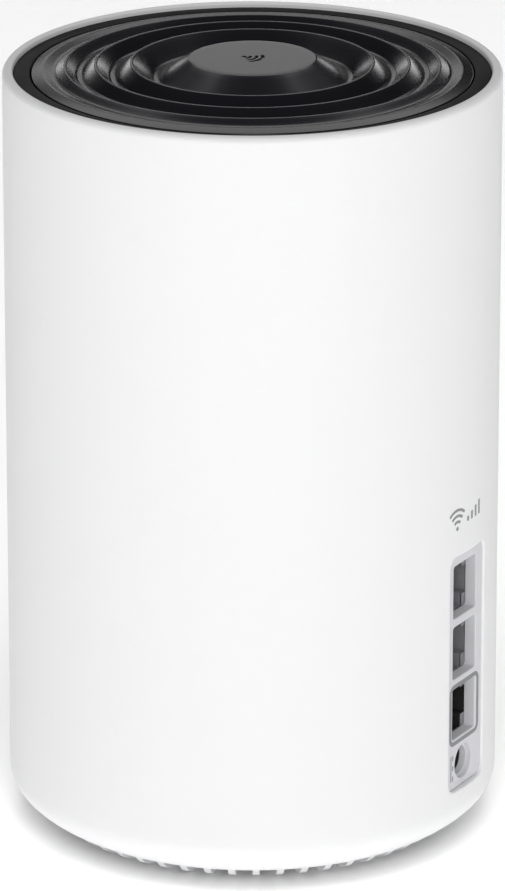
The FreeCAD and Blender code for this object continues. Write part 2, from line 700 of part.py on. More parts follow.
def make_trim_ring():
    """The glossy ring inside the rim. Its skirt passes the shell's ledge and has a shelf for the cover."""
    shelf = trim_top - cells.cover_skirt_depth - cells.fit_gap
    under = ledge_top + cells.fit_gap
    low = trim_top - cells.trim_skirt_depth
    skirt = trim_inner + cells.trim_skirt_wall
    body = new_body("trim")
    revolve(body, [
        (trim_inner - cells.trim_shelf, low), (skirt, low), (skirt, under), (trim_outer, under),
        (trim_outer, trim_top), (trim_inner, trim_top), (trim_inner, shelf), (trim_inner - cells.trim_shelf, shelf)])
    round_edges(body, cells.soft_edge, lambda edge: is_ring(edge, trim_inner, trim_top)
                or is_ring(edge, trim_outer, trim_top))
    keep("top_trim_ring", body)


RIPPLES = ["valley_one", "crest_one", "valley_two", "crest_two", "valley_three", "crest_three", "valley_four",
           "land"]


def ring_band(sketch, up, radius, band, lean):
    """A band of a ring about a point on the upright axis, reaching by an angle to both sides of that axis."""
    inner, outer = radius - band / 2, radius + band / 2
    outline(sketch, [
        (lean.sin() * outer, up + lean.cos() * outer, outer),
        (-(lean.sin() * outer), up + lean.cos() * outer),
        (-(lean.sin() * inner), up + lean.cos() * inner, -inner),
        (lean.sin() * inner, up + lean.cos() * inner)])


def draw_icon(sketch):
    """A dot below three arcs, centred on the axis."""
    foot = -(cells.icon_pitch * ICON_ARCS / 2)
    circle(sketch, 0, foot, cells.icon_dot_radius)
    for count in range(1, ICON_ARCS + 1):
        ring_band(sketch, foot, cells.icon_pitch * count, cells.icon_band, cells.icon_lean)


def make_top_cover():
    """The glossy rippled cover, with a sunk icon of three arcs and a dot, and four screw bosses below."""
    ripple = [(getattr(cells, f"{name}_radius"), boss_top - getattr(cells, f"{name}_drop")) for name in RIPPLES]
    skirt_inner = cover_radius - cells.cover_skirt_wall
    under = [(across, up - cells.cover_wall) for across, up in reversed(ripple[:-1])]
    body = new_body("cover")
    revolve(body, [
        (0, boss_top - cells.cover_wall), (cells.boss_radius - cells.boss_round, boss_top - cells.cover_wall),
        *reversed(under), (skirt_inner, trim_top - cells.cover_wall),
        (skirt_inner, trim_top - cells.cover_skirt_depth), (cover_radius, trim_top - cells.cover_skirt_depth),
        (cover_radius, trim_top), *reversed(ripple), (cells.boss_radius, boss_top), (0, boss_top)])
    for radius, rings in ((cells.valley_round, ripple[0:7:2]), (cells.crest_round, ripple[1:6:2]),
                          (cells.boss_round, [(cells.boss_radius, boss_top)]), (cells.valley_round, ripple[7:]),
                          (cells.soft_edge, [(cover_radius, trim_top)])):
        round_edges(body, radius, lambda edge: any(is_ring(edge, across, up) for across, up in rings))
    seat = upper_ring[1] + cells.fit_gap
    boss_end = boss_top - cells.valley_two_drop - cells.cover_wall / 2
    pad(body, "XY_Plane", seat, boss_end, circles(cover_screws, screw_boss))
    pocket(body, "XY_Plane", seat, seat + cells.screw_bite + cells.seam, circles(cover_screws, screw_hole))
    pocket(body, "XY_Plane", boss_top - cells.icon_depth, boss_top + cells.seam, draw_icon)
    keep("top_cover", body)


def make_bezel():
    """The light grey port panel: a plate sunk in the window with walls and a flange behind it."""
    width = cells.window_width - cells.fit_gap * 2
    height = cells.window_height - cells.fit_gap * 2
    plate_back = bezel_face - cells.bezel_plate
    body = new_body("bezel")
    pad(body, "XZ_Plane", bezel_back, bezel_face, lambda sketch: rectangle(
        sketch, 0, cells.window_centre, width, height, cells.window_round - cells.fit_gap))
    pad(body, "XZ_Plane", bezel_back, flange_front, lambda sketch: rectangle(
        sketch, 0, cells.window_centre, flange_half * 2, cells.window_height + cells.flange_reach * 2,
        cells.window_round))
    pocket(body, "XZ_Plane", bezel_back, plate_back, lambda sketch: rectangle(
        sketch, 0, cells.window_centre, width - cells.bezel_side_wall * 2, height - cells.bezel_side_wall * 2,
        cells.port_round))
    for port in ports:
        pocket(body, "XZ_Plane", plate_back, bezel_face, lambda sketch: rectangle(
            sketch, cells.port_across, port, cells.port_width, cells.port_height, cells.port_round))
    power = [(cells.port_across, power_height)]
    pocket(body, "XZ_Plane", bezel_face - cells.power_mouth_depth, bezel_face,
           circles(power, cells.power_mouth_radius))
    pocket(body, "XZ_Plane", plate_back, bezel_face, circles(power, cells.power_throat_radius))

    def at_face(edge):
        extent = edge.BoundBox
        flat = abs(extent.YMin - bezel_face.number) < NEAR and extent.YLength < NEAR
        return flat and max(extent.XMax, -extent.XMin) < (width / 2 - cells.fit_gap).number

    round_edges(body, cells.soft_edge, at_face)
    keep("port_bezel", body)


def make_base():
    """The base cover: a plate with radial vent slots in its turned-up edge, a spigot that centres the shell,
    bosses for the base screws, posts for the service board, and holes for the lamp and the reset plunger."""
    rim = (edge_radius - cells.seam, cells.edge_height)
    rise = rim[1] - cells.foot_gap
    out = rim[0] - cells.base_flat_radius
    rim_round = (out * out + rise * rise) / (rise * 2)
    spigot = edge_radius - cells.shell_wall
    spigot_inner = spigot - cells.spigot_wall
    body = new_body("base")
    revolve(body, [
        (0, cells.foot_gap), (cells.base_flat_radius, cells.foot_gap, rim_round), rim,
        (spigot, rim[1] + cells.shell_wall), (spigot, cells.spigot_top), (spigot_inner, cells.spigot_top),
        (spigot_inner, cells.foot_gap + cells.base_wall * 2), (cells.base_flat_radius, base_top), (0, base_top)])
    half = Size(180) / cells.vent_count

    def half_slot(radius):
        return radius * half.tan() - cells.vent_rib / 2

    slot_end = cells.shell_radius
    slot = pocket(body, "XY_Plane", 0, cells.vent_top, lambda sketch: outline(sketch, [
        (cells.vent_inner_radius, -half_slot(cells.vent_inner_radius)), (slot_end, -half_slot(slot_end)),
        (slot_end, half_slot(slot_end)), (cells.vent_inner_radius, half_slot(cells.vent_inner_radius))]))
    pattern = body.newObject("PartDesign::PolarPattern", "vents")
    pattern.Originals = [slot]
    pattern.Axis = (origin_feature(body, "Z_Axis"), [""])
    pattern.Angle = 360
    bind(pattern, "Occurrences", cells.vent_count)
    body.Tip = pattern
    doc.recompute()
    pad(body, "XY_Plane", base_top, lower_ring[0], circles(base_screws, cells.base_boss_radius))
    posts = [(cells.service_post_across * side, cells.service_post_along) for side in (-1, 1)]
    post_wall = cells.small_shank_radius + cells.boss_wall / 2
    pad(body, "XY_Plane", base_top, service[0], circles(posts, post_wall))
    pocket(body, "XY_Plane", base_top, service[0], circles(posts, cells.small_shank_radius + cells.screw_gap))
    foot_roof = cells.foot_gap + cells.foot_sunk
    pocket(body, "XY_Plane", 0, foot_roof, circles(base_screws, cells.foot_radius + cells.fit_gap))
    pocket(body, "XY_Plane", 0, foot_roof + cells.screw_head_thick + cells.fit_gap,
           circles(base_screws, cells.screw_head_radius + cells.fit_gap))
    pocket(body, "XY_Plane", 0, lower_ring[0], circles(base_screws, screw_hole))
    pocket(body, "XY_Plane", 0, base_top,
           circles([(cells.reset_across, cells.reset_along)], cells.reset_radius + cells.reset_gap))
    pocket(body, "XY_Plane", 0, base_top, lambda sketch: guide_outline(sketch, cells.fit_gap))
    keep("base_cover", body)


def guide_outline(sketch, grow):
    """The light guide's outline, grown by a margin: a rectangle with round ends."""
    radius = cells.guide_half_width + grow
    rectangle(sketch, 0, cells.guide_along, (cells.guide_half_length + grow) * 2, radius * 2,
              radius * cells.guide_round_share)


# ---------------------------------------------------------------------------------------------
# Feet, label and screws
# ---------------------------------------------------------------------------------------------
def make_feet():
    """Four rubber feet that cover the base screws, each with a rounded lower edge."""
    feet = []
    for number, (across, along) in enumerate(base_screws):
        blank = rod(f"foot_blank_{number}", cells.foot_radius, "z", (0, cells.foot_gap + cells.foot_sunk),
                    across, along)
        doc.recompute()
        foot = doc.addObject("Part::Fillet", f"foot_{number}")
        foot.Base = blank
        low = [count for count, edge in enumerate(blank.Shape.Edges, start=1) if edge.BoundBox.ZMax < NEAR]
        foot.Edges = [(count, cells.foot_round.number, cells.foot_round.number) for count in low]
        feet.append(foot)
    keep("rubber_feet", group("feet", feet))


def make_label():
    """The blank rating label under the base."""
    keep("rating_label", box(
        "label", (-(cells.label_length / 2), cells.label_length / 2),
        (-(cells.label_width / 2), cells.label_width / 2), (cells.foot_gap - cells.label_thick, cells.foot_gap)))


def make_screws():
    """The screws: base to frame, frame to top cover, heat sinks together, and service board to base."""
    seat = cells.foot_gap + cells.foot_sunk + cells.screw_head_thick + cells.fit_gap
    keep("base_screws", group("base_screw_set", [
        screw(f"base_screw_{number}", "z", lower_ring[1] + cells.screw_bite - cells.screw_relief, seat, across, along)
        for number, (across, along) in enumerate(base_screws)]))
    keep("cover_screws", group("cover_screw_set", [
        screw(f"cover_screw_{number}", "z", upper_ring[1] + cells.screw_bite, upper_ring[0], across, along)
        for number, (across, along) in enumerate(cover_screws)]))
    keep("heat_sink_screws", group("sink_screw_set", [
        screw(f"sink_screw_{number}", "x", sink_back - cells.seam, rear_back, along, up)
        for number, (along, up) in enumerate(sink_screws)]))
    small = (cells.small_shank_radius, cells.small_head_radius)
    keep("service_screws", group("service_screw_set", [
        screw(f"service_screw_{number}", "z", base_top + cells.seam, service[1],
              cells.service_post_across * side, cells.service_post_along, small, cells.small_head_thick)
        for number, side in enumerate((-1, 1))]))


# ---------------------------------------------------------------------------------------------
# Service board: reset plunger and switch, lamp and light guide
# ---------------------------------------------------------------------------------------------
def make_service():
    """The small board above the base plate and what it carries."""
    across, along = cells.reset_across, cells.reset_along
    switch_low = service[0] - cells.switch_height
    plate = box("service_plate", (-cells.service_half_width, cells.service_half_width),
                (cells.service_front, cells.service_back), service)
    holes = [rod(f"service_hole_{number}", cells.small_shank_radius + cells.screw_gap, "z", service,
                 cells.service_post_across * side, cells.service_post_along) for number, side in enumerate((-1, 1))]
    keep("service_board", cut("service_board", plate, holes))
    cap_top = switch_low - cells.reset_travel - cells.reset_gap
    collar_low = base_top + cells.reset_gap
    keep("reset_button", fuse("plunger", [
        rod("plunger_stem", cells.reset_radius, "z", (cells.foot_gap + cells.reset_sunk, cap_top), across, along),
        rod("plunger_collar", cells.reset_collar_radius, "z",
            (collar_low, collar_low + cells.reset_collar_thick), across, along)]))
    keep("reset_switch", fuse("switch", [
        box("switch_case", (across - cells.switch_half, across + cells.switch_half),
            (along - cells.switch_half, along + cells.switch_half), (switch_low + cells.soft_edge, service[0])),
        rod("switch_dome", cells.reset_radius, "z", (switch_low, service[0]), across, along)]))
    lamp_low = service[0] - cells.lamp_height
    keep("status_lamp", box(
        "lamp", (-cells.lamp_half_length, cells.lamp_half_length),
        (cells.guide_along - cells.lamp_half_width, cells.guide_along + cells.lamp_half_width),
        (lamp_low, service[0])))
    body = new_body("guide")
    pad(body, "XY_Plane", cells.foot_gap, lamp_low - cells.seam, lambda sketch: guide_outline(sketch, 0))
    pad(body, "XY_Plane", base_top, base_top + cells.guide_collar,
        lambda sketch: guide_outline(sketch, cells.guide_collar))
    keep("light_guide", body)


def make_ribbon():
    """The flat cable between the service board and the main board, and its two connectors."""
    along = (cells.ribbon_along - cells.ribbon_half_width, cells.ribbon_along + cells.ribbon_half_width)
    wide = (along[0] - cells.plug_margin, along[1] + cells.plug_margin)
    middle = cells.board_face + cells.ribbon_stand
    across = (middle - cells.ribbon_thick / 2, middle + cells.ribbon_thick / 2)
    low = (service[1], service[1] + cells.plug_block / 2)
    high = (board[0] + cells.ribbon_stand, board[0] + cells.ribbon_stand + cells.plug_block)
    keep("ribbon_cable", box("ribbon", across, along, (low[1], high[0])))
    keep("ribbon_connectors", group("ribbon_plugs", [
        box("lower_plug", (cells.board_face, middle + cells.ribbon_stand), wide, low),
        box("upper_plug", (cells.board_face, middle + cells.ribbon_stand), wide, high)]))


# ---------------------------------------------------------------------------------------------
# Sockets
# ---------------------------------------------------------------------------------------------
def make_network_jack(name, middle):
    """A network jack on its side: moulded housing, sheet shield and eight sloping contact wires."""
    sheet_in = cells.jack_sheet + cells.jack_gap
    far = cells.board_face + cells.jack_stand
    back = jack_front - cells.jack_depth
    half = cells.jack_height / 2
    inner = jack_front - sheet_in
    plug = (cells.board_face + cells.plug_stand, cells.board_face + cells.plug_stand + cells.plug_width)
    plug_span = (middle - cells.plug_height / 2, middle + cells.plug_height / 2)
    notch = (plug[0] - cells.latch_width, plug[0])
    notch_span = (middle - cells.latch_height / 2, middle + cells.latch_height / 2)
    mouth = (inner - cells.plug_depth, jack_front + cells.seam)
    comb = (inner - cells.comb_start - cells.comb_length, inner - cells.comb_start)
    comb_span = (middle - cells.comb_height / 2, middle + cells.comb_height / 2)
    block = box(f"{name}_block", (cells.board_face, far - sheet_in), (back + sheet_in, inner),
                (middle - half + sheet_in, middle + half - sheet_in))
    keep(f"{name}_housing", cut(f"{name}_housing", block, [
        box(f"{name}_cavity", plug, mouth, plug_span), box(f"{name}_notch", notch, mouth, notch_span),
        box(f"{name}_comb", (plug[1] - cells.seam, plug[1] + cells.comb_depth), comb, comb_span)]))
    case = box(f"{name}_case", (cells.board_face, far), (back, jack_front), (middle - half, middle + half))
    hollow = box(f"{name}_hollow", (cells.board_face - cells.seam, far - cells.jack_sheet),
                 (back + cells.jack_sheet, jack_front - cells.jack_sheet),
                 (middle - half + cells.jack_sheet, middle + half - cells.jack_sheet))
    keep(f"{name}_shield", cut(f"{name}_shield", case, [
        hollow, box(f"{name}_mouth", plug, mouth, plug_span), box(f"{name}_gate", notch, mouth, notch_span)]))
    roof = plug[1] + cells.comb_depth
    front = comb[1] - cells.contact_thick
    wires = []
    for number in range(CONTACTS):
        low = middle + cells.contact_pitch * (number - (CONTACTS - 1) / 2) - cells.contact_thick / 2
        high = low + cells.contact_thick
        root = box(f"{name}_root_{number}", (roof - cells.contact_thick, roof),
                   (comb[0] + cells.jack_gap, front), (low, high))
        wire = box(f"{name}_slope_{number}", (0, cells.contact_thick), (0, cells.contact_length), (0, 0))
        bind(wire, "Height", cells.contact_thick)
        wire.Placement = Placement(Vector(), Rotation(Vector(0, 0, 1), 180 - cells.contact_slope.number))
        bind(wire, "Placement.Base.x", roof)
        bind(wire, "Placement.Base.y", front)
        bind(wire, "Placement.Base.z", low)
        bind(wire, "Placement.Rotation.Angle", Size(180) - cells.contact_slope)
        wires.append(fuse(f"{name}_wire_{number}", [root, wire]))
    keep(f"{name}_contacts", group(f"{name}_wires", wires))


def make_power_jack():
    """The power jack: housing with a round bore, centre pin on a thick root, and a leaf contact beside the bore."""
    middle = power_height
    axis = cells.port_across
    half = cells.power_jack_size / 2
    bore = (jack_front - cells.power_barrel_depth, jack_front + cells.seam)
    root = bore[0] - cells.power_pin_root
    leaf_low = middle - cells.power_barrel_radius - cells.leaf_thick
    leaf = [(axis - cells.leaf_width / 2, axis + cells.leaf_width / 2),
            (bore[0], jack_front - cells.power_mouth_depth), (leaf_low, leaf_low + cells.leaf_thick)]
    slot = [(leaf[0][0] - cells.jack_gap, leaf[0][1] + cells.jack_gap), leaf[1], (leaf_low, middle)]
    block = box("power_block", (cells.board_face, cells.board_face + cells.power_jack_stand),
                (jack_front - cells.power_jack_depth, jack_front), (middle - half, middle + half))
    keep("power_jack_body", cut("power_body", block, [
        rod("power_bore", cells.power_barrel_radius, "y", bore, axis, middle),
        rod("power_socket", cells.power_root_radius + cells.screw_gap, "y", (root, bore[1]), axis, middle),
        box("power_slot", *slot)]))
    keep("power_jack_pin", fuse("power_centre", [
        rod("power_pin", cells.power_pin_radius, "y", (root, jack_front - cells.power_pin_sunk), axis, middle),
        rod("power_root", cells.power_root_radius, "y", (root, bore[0]), axis, middle)]))
    keep("power_jack_spring", cut("power_leaf", box("power_strip", *leaf), [
        rod("power_clear", cells.power_barrel_radius, "y", bore, axis, middle)]))


# ---------------------------------------------------------------------------------------------
# Main board and what stands on it
# ---------------------------------------------------------------------------------------------
def on_board(name, middle, half, stand, low=0):
    """A block on the component side, from its (along, up) middle and half sizes, between two stands."""
    return box(name, (cells.board_face + low, cells.board_face + stand),
               (middle[0] - half[0], middle[0] + half[0]), (middle[1] - half[1], middle[1] + half[1]))


def laid(name):
    """The (along, up) middle and the half sizes of a block in LAID_BLOCKS."""
    along, up, half_length, half_height = (getattr(cells, f"{name}_{part}") for part, _ in BLOCK_SIZES)
    return (along, sink[0] + up), (half_length, half_height)


def shrunk(half, margin):
    """Half sizes less a margin."""
    return half[0] - margin, half[1] - margin


def chips(label, names):
    """Chips that share one node."""
    keep(label, group(f"{label}_set", [on_board(f"{name}_chip", *laid(name), cells.chip_stand) for name in names]))


CANS = ("wide_can", "front_can", "back_can")
MEMORY = ("low_memory", "high_memory", "back_memory")
RADIOS = ("front_radio", "back_radio")
coax_places = [(cells.coax_outer, POST_ANGLES[0]), (cells.coax_inner, POST_ANGLES[1]),
               (-cells.coax_inner, POST_ANGLES[2]), (-cells.coax_outer, POST_ANGLES[3])]


def make_board():
    """The upright main board with its chips, cans, pads and power parts."""
    plate = box("board_plate", (board_back_face, cells.board_face), (cells.board_front, board_end), board)
    keep("main_board", cut("main_board", plate, [
        rod(f"board_hole_{number}", screw_hole, "x", (board_back_face, cells.board_face), along, up)
        for number, (along, up) in enumerate(sink_screws)]))
    roof = cells.can_stand - cells.can_wall
    cans, pads = [], []
    for name in CANS:
        middle, half = laid(name)
        outer = on_board(f"{name}_outer", middle, half, cells.can_stand)
        inner = on_board(f"{name}_inner", middle, shrunk(half, cells.can_wall), roof, -cells.seam)
        cans.append(cut(name, outer, [inner]))
        pads.append(on_board(f"{name}_pad", middle, shrunk(half, cells.pad_margin),
                             cells.can_stand + cells.pad_thick, cells.can_stand))
    keep("shield_cans", group("can_set", cans))
    keep("processor_chip", on_board("processor", *laid("processor"), cells.chip_stand))
    chips("memory_chips", MEMORY)
    chips("radio_chips", RADIOS)
    keep("chip_pads", group("chip_pad_set", [
        on_board(f"{name}_pad", *laid(name), roof, cells.chip_stand) for name in ("processor", *MEMORY, *RADIOS)]))
    (along, up), (half_length, half_height) = laid("rear_pad")
    pads.append(box("rear_pad", (rear_face, board_back_face), (along - half_length, along + half_length),
                    (up - half_height, up + half_height)))
    keep("thermal_pads", group("pad_set", pads))
    beside = cells.sink_half_width - cells.transformer_inset
    transformer = (cells.transformer_half_length, cells.transformer_half_height)
    keep("network_transformers", group("transformer_set", [
        on_board(f"transformer_{number}", (beside, port), transformer, cells.can_stand)
        for number, port in enumerate(ports)]))
    low = board[0] + cells.plug_block * 2
    inductors = [cells.inductor_along, cells.inductor_along + cells.inductor_pitch]
    keep("power_inductors", group("inductor_set", [
        on_board(f"inductor_{number}", (place, low), (cells.inductor_half, cells.inductor_half),
                 cells.inductor_stand) for number, place in enumerate(inductors)]))
    capacitors = [cells.capacitor_front, cells.capacitor_back, cells.capacitor_back + cells.capacitor_pitch]
    keep("capacitors", group("capacitor_set", [
        rod(f"capacitor_{number}", cells.capacitor_radius, "x",
            (cells.board_face, cells.board_face + cells.capacitor_stand), place, low)
        for number, place in enumerate(capacitors)]))
    coax_height = board[1] - cells.coax_below_top
    keep("coax_connectors", group("coax_set", [
        rod(f"coax_{number}", cells.coax_radius, "x", (cells.board_face, cells.board_face + cells.coax_stand),
            place, coax_height) for number, (place, _) in enumerate(coax_places)]))


def fins(name, across, half_width, count):
    """Upright fins, evenly spread over a sink's width."""
    pitch = (half_width * 2 - cells.fin_thick) / (count.number - 1)
    return [box(f"{name}_{number}", across, (pitch * number - half_width,
                pitch * number - half_width + cells.fin_thick), sink) for number in range(int(count.number))]


def make_sinks():
    """The two heat sinks that clamp the board between them."""
    plate = box("sink_plate", (sink_face, sink_back), (-cells.sink_half_width, cells.sink_half_width), sink)
    front = fuse("sink_blank", [
        plate, *fins("fin", (sink_face, sink_back + cells.sink_fin_length), cells.sink_half_width, cells.sink_fins),
        *[rod(f"sink_boss_{number}", screw_boss, "x", (cells.board_face, sink_back), along, up)
          for number, (along, up) in enumerate(sink_screws)]])
    keep("heat_sink", cut("sink", front, [
        rod(f"sink_hole_{number}", screw_hole, "x", (cells.board_face, sink_back), along, up)
        for number, (along, up) in enumerate(sink_screws)]))
    rear_plate = box("rear_plate", (rear_back, rear_face), (-cells.rear_half_width, cells.rear_half_width), sink)
    rear = fuse("rear_blank", [
        rear_plate, *fins("rear_fin", (rear_back - cells.rear_fin_length, rear_face), cells.rear_half_width,
                          cells.rear_fins),
        *[rod(f"rear_boss_{number}", screw_boss, "x", (rear_back, board_back_face), along, up)
          for number, (along, up) in enumerate(sink_screws)]])
    reach = rear_back - cells.rear_fin_length
    keep("rear_heat_sink", cut("rear_sink", rear, [
        *[rod(f"rear_hole_{number}", screw_hole, "x", (rear_back, board_back_face), along, up)
          for number, (along, up) in enumerate(sink_screws)],
        *[rod(f"rear_well_{number}", cells.screw_head_radius + cells.boss_wall, "x", (reach, rear_back), along, up)
          for number, (along, up) in enumerate(sink_screws)]]))


# ---------------------------------------------------------------------------------------------
# Inner frame, antennas and coaxial cables
# ---------------------------------------------------------------------------------------------
def rail(name, along, up, slot_along, slot_up):
    """A board rail and the slot that holds the board's edge."""
    middle = (cells.board_face + board_back_face) / 2
    half = cells.rail_thick / 2
    bar = box(name, (middle - half, middle + half), along, up)
    slot = box(f"{name}_slot", (board_back_face - cells.fit_gap, cells.board_face + cells.fit_gap),
               slot_along, slot_up)
    return bar, slot


def make_frame():
    """The inner frame: two rings, four antenna posts, two board rails and the bosses of the base screws."""
    ring = [rod("lower_disc", frame_radius, "z", lower_ring, 0, 0),
            rod("upper_disc", frame_radius, "z", upper_ring, 0, 0)]
    posts = [turned_box(f"post_{angle}", angle, (frame_radius - cells.post_thick, frame_radius),
                        (-(cells.post_width / 2), cells.post_width / 2), (lower_ring[0], upper_ring[1]))
             for angle in POST_ANGLES]
    captive = (board[0] - cells.fit_gap, board[1] + cells.fit_gap)
    front_inner = cells.board_front + cells.rail_grip
    front_bar, front_slot = rail("front_rail", (front_inner - cells.rail_width, front_inner),
                                 (lower_ring[0], upper_ring[1]),
                                 (cells.board_front - cells.fit_gap, front_inner), captive)
    back_inner = board_end - cells.rail_grip
    back_bar, back_slot = rail("back_rail", (back_inner, back_inner + cells.back_rail_width),
                               (cells.back_rail_start, upper_ring[1]),
                               (back_inner, board_end + cells.fit_gap), captive)
    bosses = [rod(f"frame_boss_{number}", screw_boss, "z", (lower_ring[0], lower_ring[1] + cells.screw_bite),
                  across, along) for number, (across, along) in enumerate(base_screws)]
    blank = fuse("frame_blank", [*ring, *posts, front_bar, back_bar, *bosses])
    keep("inner_frame", cut("frame", blank, [
        front_slot, back_slot,
        rod("lower_hole", cells.lower_hole_radius, "z", lower_ring, 0, 0),
        rod("upper_hole", cells.upper_hole_radius, "z", upper_ring, 0, 0),
        *[rod(f"base_pilot_{number}", screw_hole, "z", (lower_ring[0], lower_ring[1] + cells.screw_bite),
              across, along) for number, (across, along) in enumerate(base_screws)],
        *[rod(f"cover_pass_{number}", screw_hole, "z", upper_ring, across, along)
          for number, (across, along) in enumerate(cover_screws)]]))


def tube(points, radius, bend):
    """A round tube along straight runs joined by tangent arcs of one bend radius."""
    edges = []
    start = points[0]
    for before, corner, after in zip(points, points[1:], points[2:]):
        into, out = (corner - before).normalize(), (after - corner).normalize()
        turn = into.getAngle(out)
        back = bend * math.tan(turn / 2)
        enter, leave = corner - into * back, corner + out * back
        inward = (out - into).normalize() * (bend / math.cos(turn / 2) - bend)
        edges += [Part.LineSegment(start, enter).toShape(), Part.Arc(enter, corner + inward, leave).toShape()]
        start = leave
    edges.append(Part.LineSegment(start, points[-1]).toShape())
    path = Part.Wire(edges)
    section = Part.Wire([Part.Circle(points[0], points[1] - points[0], radius).toShape()])
    return path.makePipeShell([section], True, False), path.Length


def make_antennas():
    """Four antenna plates on the posts, each with a coaxial cable from its connector on the board."""
    up = (boss_top - cells.antenna_drop - cells.antenna_height, boss_top - cells.antenna_drop)
    plate_face = frame_radius
    level = (boss_top - cells.cable_drop).number
    start_up = (board[1] - cells.coax_below_top + cells.coax_radius).number
    start_across = (cells.board_face + cells.coax_stand - cells.cable_radius).number
    beside = (cells.post_width / 2 + cells.cable_radius * 2).number
    for number, (along, angle) in enumerate(coax_places, start=1):
        keep(f"antenna_{number}", turned_box(
            f"antenna_{number}", angle, (plate_face, plate_face + cells.antenna_thick),
            (-(cells.antenna_width / 2), cells.antenna_width / 2), up))
        turn = Rotation(Vector(0, 0, 1), angle)
        side = math.copysign(beside, math.sin(math.radians(2 * angle)))
        points = [Vector(start_across, along.number, start_up), Vector(start_across, along.number, level),
                  turn.multVec(Vector(cells.cable_turn_radius.number, side, level)),
                  turn.multVec(Vector(plate_face.number, side, level))]
        shape, length = tube(points, cells.cable_radius.number, cells.cable_bend.number)
        ideal = math.pi * cells.cable_radius.number ** 2 * length
        if abs(shape.Volume - ideal) > 0.02 * ideal:
            raise RuntimeError(f"cable {number} has a wrong volume")
        cable = doc.addObject("Part::Feature", f"cable_{number}")
        cable.Shape = shape
        cable.Placement = Placement()
        keep(f"antenna_cable_{number}", cable)


# ---------------------------------------------------------------------------------------------
# Build, check and write
# ---------------------------------------------------------------------------------------------
def check(thing):
    """Stops if a sub-part has no valid solid."""
    shape = thing.Shape
    if shape.isNull() or not shape.isValid() or not shape.Solids:
        raise RuntimeError(f"{thing.Label} has no valid solid")


def write():
    """Checks the whole document and writes each sub-part to parts/."""
    doc.recompute()
    failed = [thing.Label for thing in doc.Objects if {"Invalid", "Error"} & set(thing.State)]
    if failed:
        raise RuntimeError(f"failed objects: {failed}")
    os.makedirs("parts", exist_ok=True)
    for thing in pieces:
        check(thing)
        thing.Shape.exportStep(f"parts/{thing.Label}.step")
    print(f"{len(pieces)} sub-parts written")


make_shell()
make_trim_ring()
make_top_cover()
make_bezel()
make_base()
make_feet()
make_label()
make_screws()
make_service()
make_ribbon()
for jack_name, jack_middle in zip(("lan_jack_1", "lan_jack_2", "wan_jack"), ports):
    make_network_jack(jack_name, jack_middle)
make_power_jack()
make_board()
make_sinks()
make_frame()
make_antennas()
write()
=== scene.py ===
"""Looks of a mesh wifi node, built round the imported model.

The casing is made of surfaces worked out with numpy: turned profiles, and a tube with a window cut in it.
Everything inside and the port panel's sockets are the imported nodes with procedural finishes.
Lengths are in metres. MM turns millimetres into metres.
"""
import logging
import math
from collections.abc import Callable, Iterable, Sequence
from dataclasses import dataclass, field
from enum import Enum

import bpy
import numpy as np
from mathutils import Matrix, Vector


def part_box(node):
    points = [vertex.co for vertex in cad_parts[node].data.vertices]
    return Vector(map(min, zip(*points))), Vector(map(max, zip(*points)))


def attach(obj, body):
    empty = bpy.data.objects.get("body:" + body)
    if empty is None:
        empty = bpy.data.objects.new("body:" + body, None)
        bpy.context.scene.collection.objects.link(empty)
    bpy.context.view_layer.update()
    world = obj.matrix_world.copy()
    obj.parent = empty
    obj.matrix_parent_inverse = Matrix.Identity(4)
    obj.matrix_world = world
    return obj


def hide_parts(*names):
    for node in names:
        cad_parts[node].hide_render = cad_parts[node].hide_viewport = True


MM = 0.001
BODY = "node_body"
SMOOTH_BELOW = 40.0  # edges that turn less than this many degrees are shaded smooth
log = logging.getLogger("mesh_wifi_node")

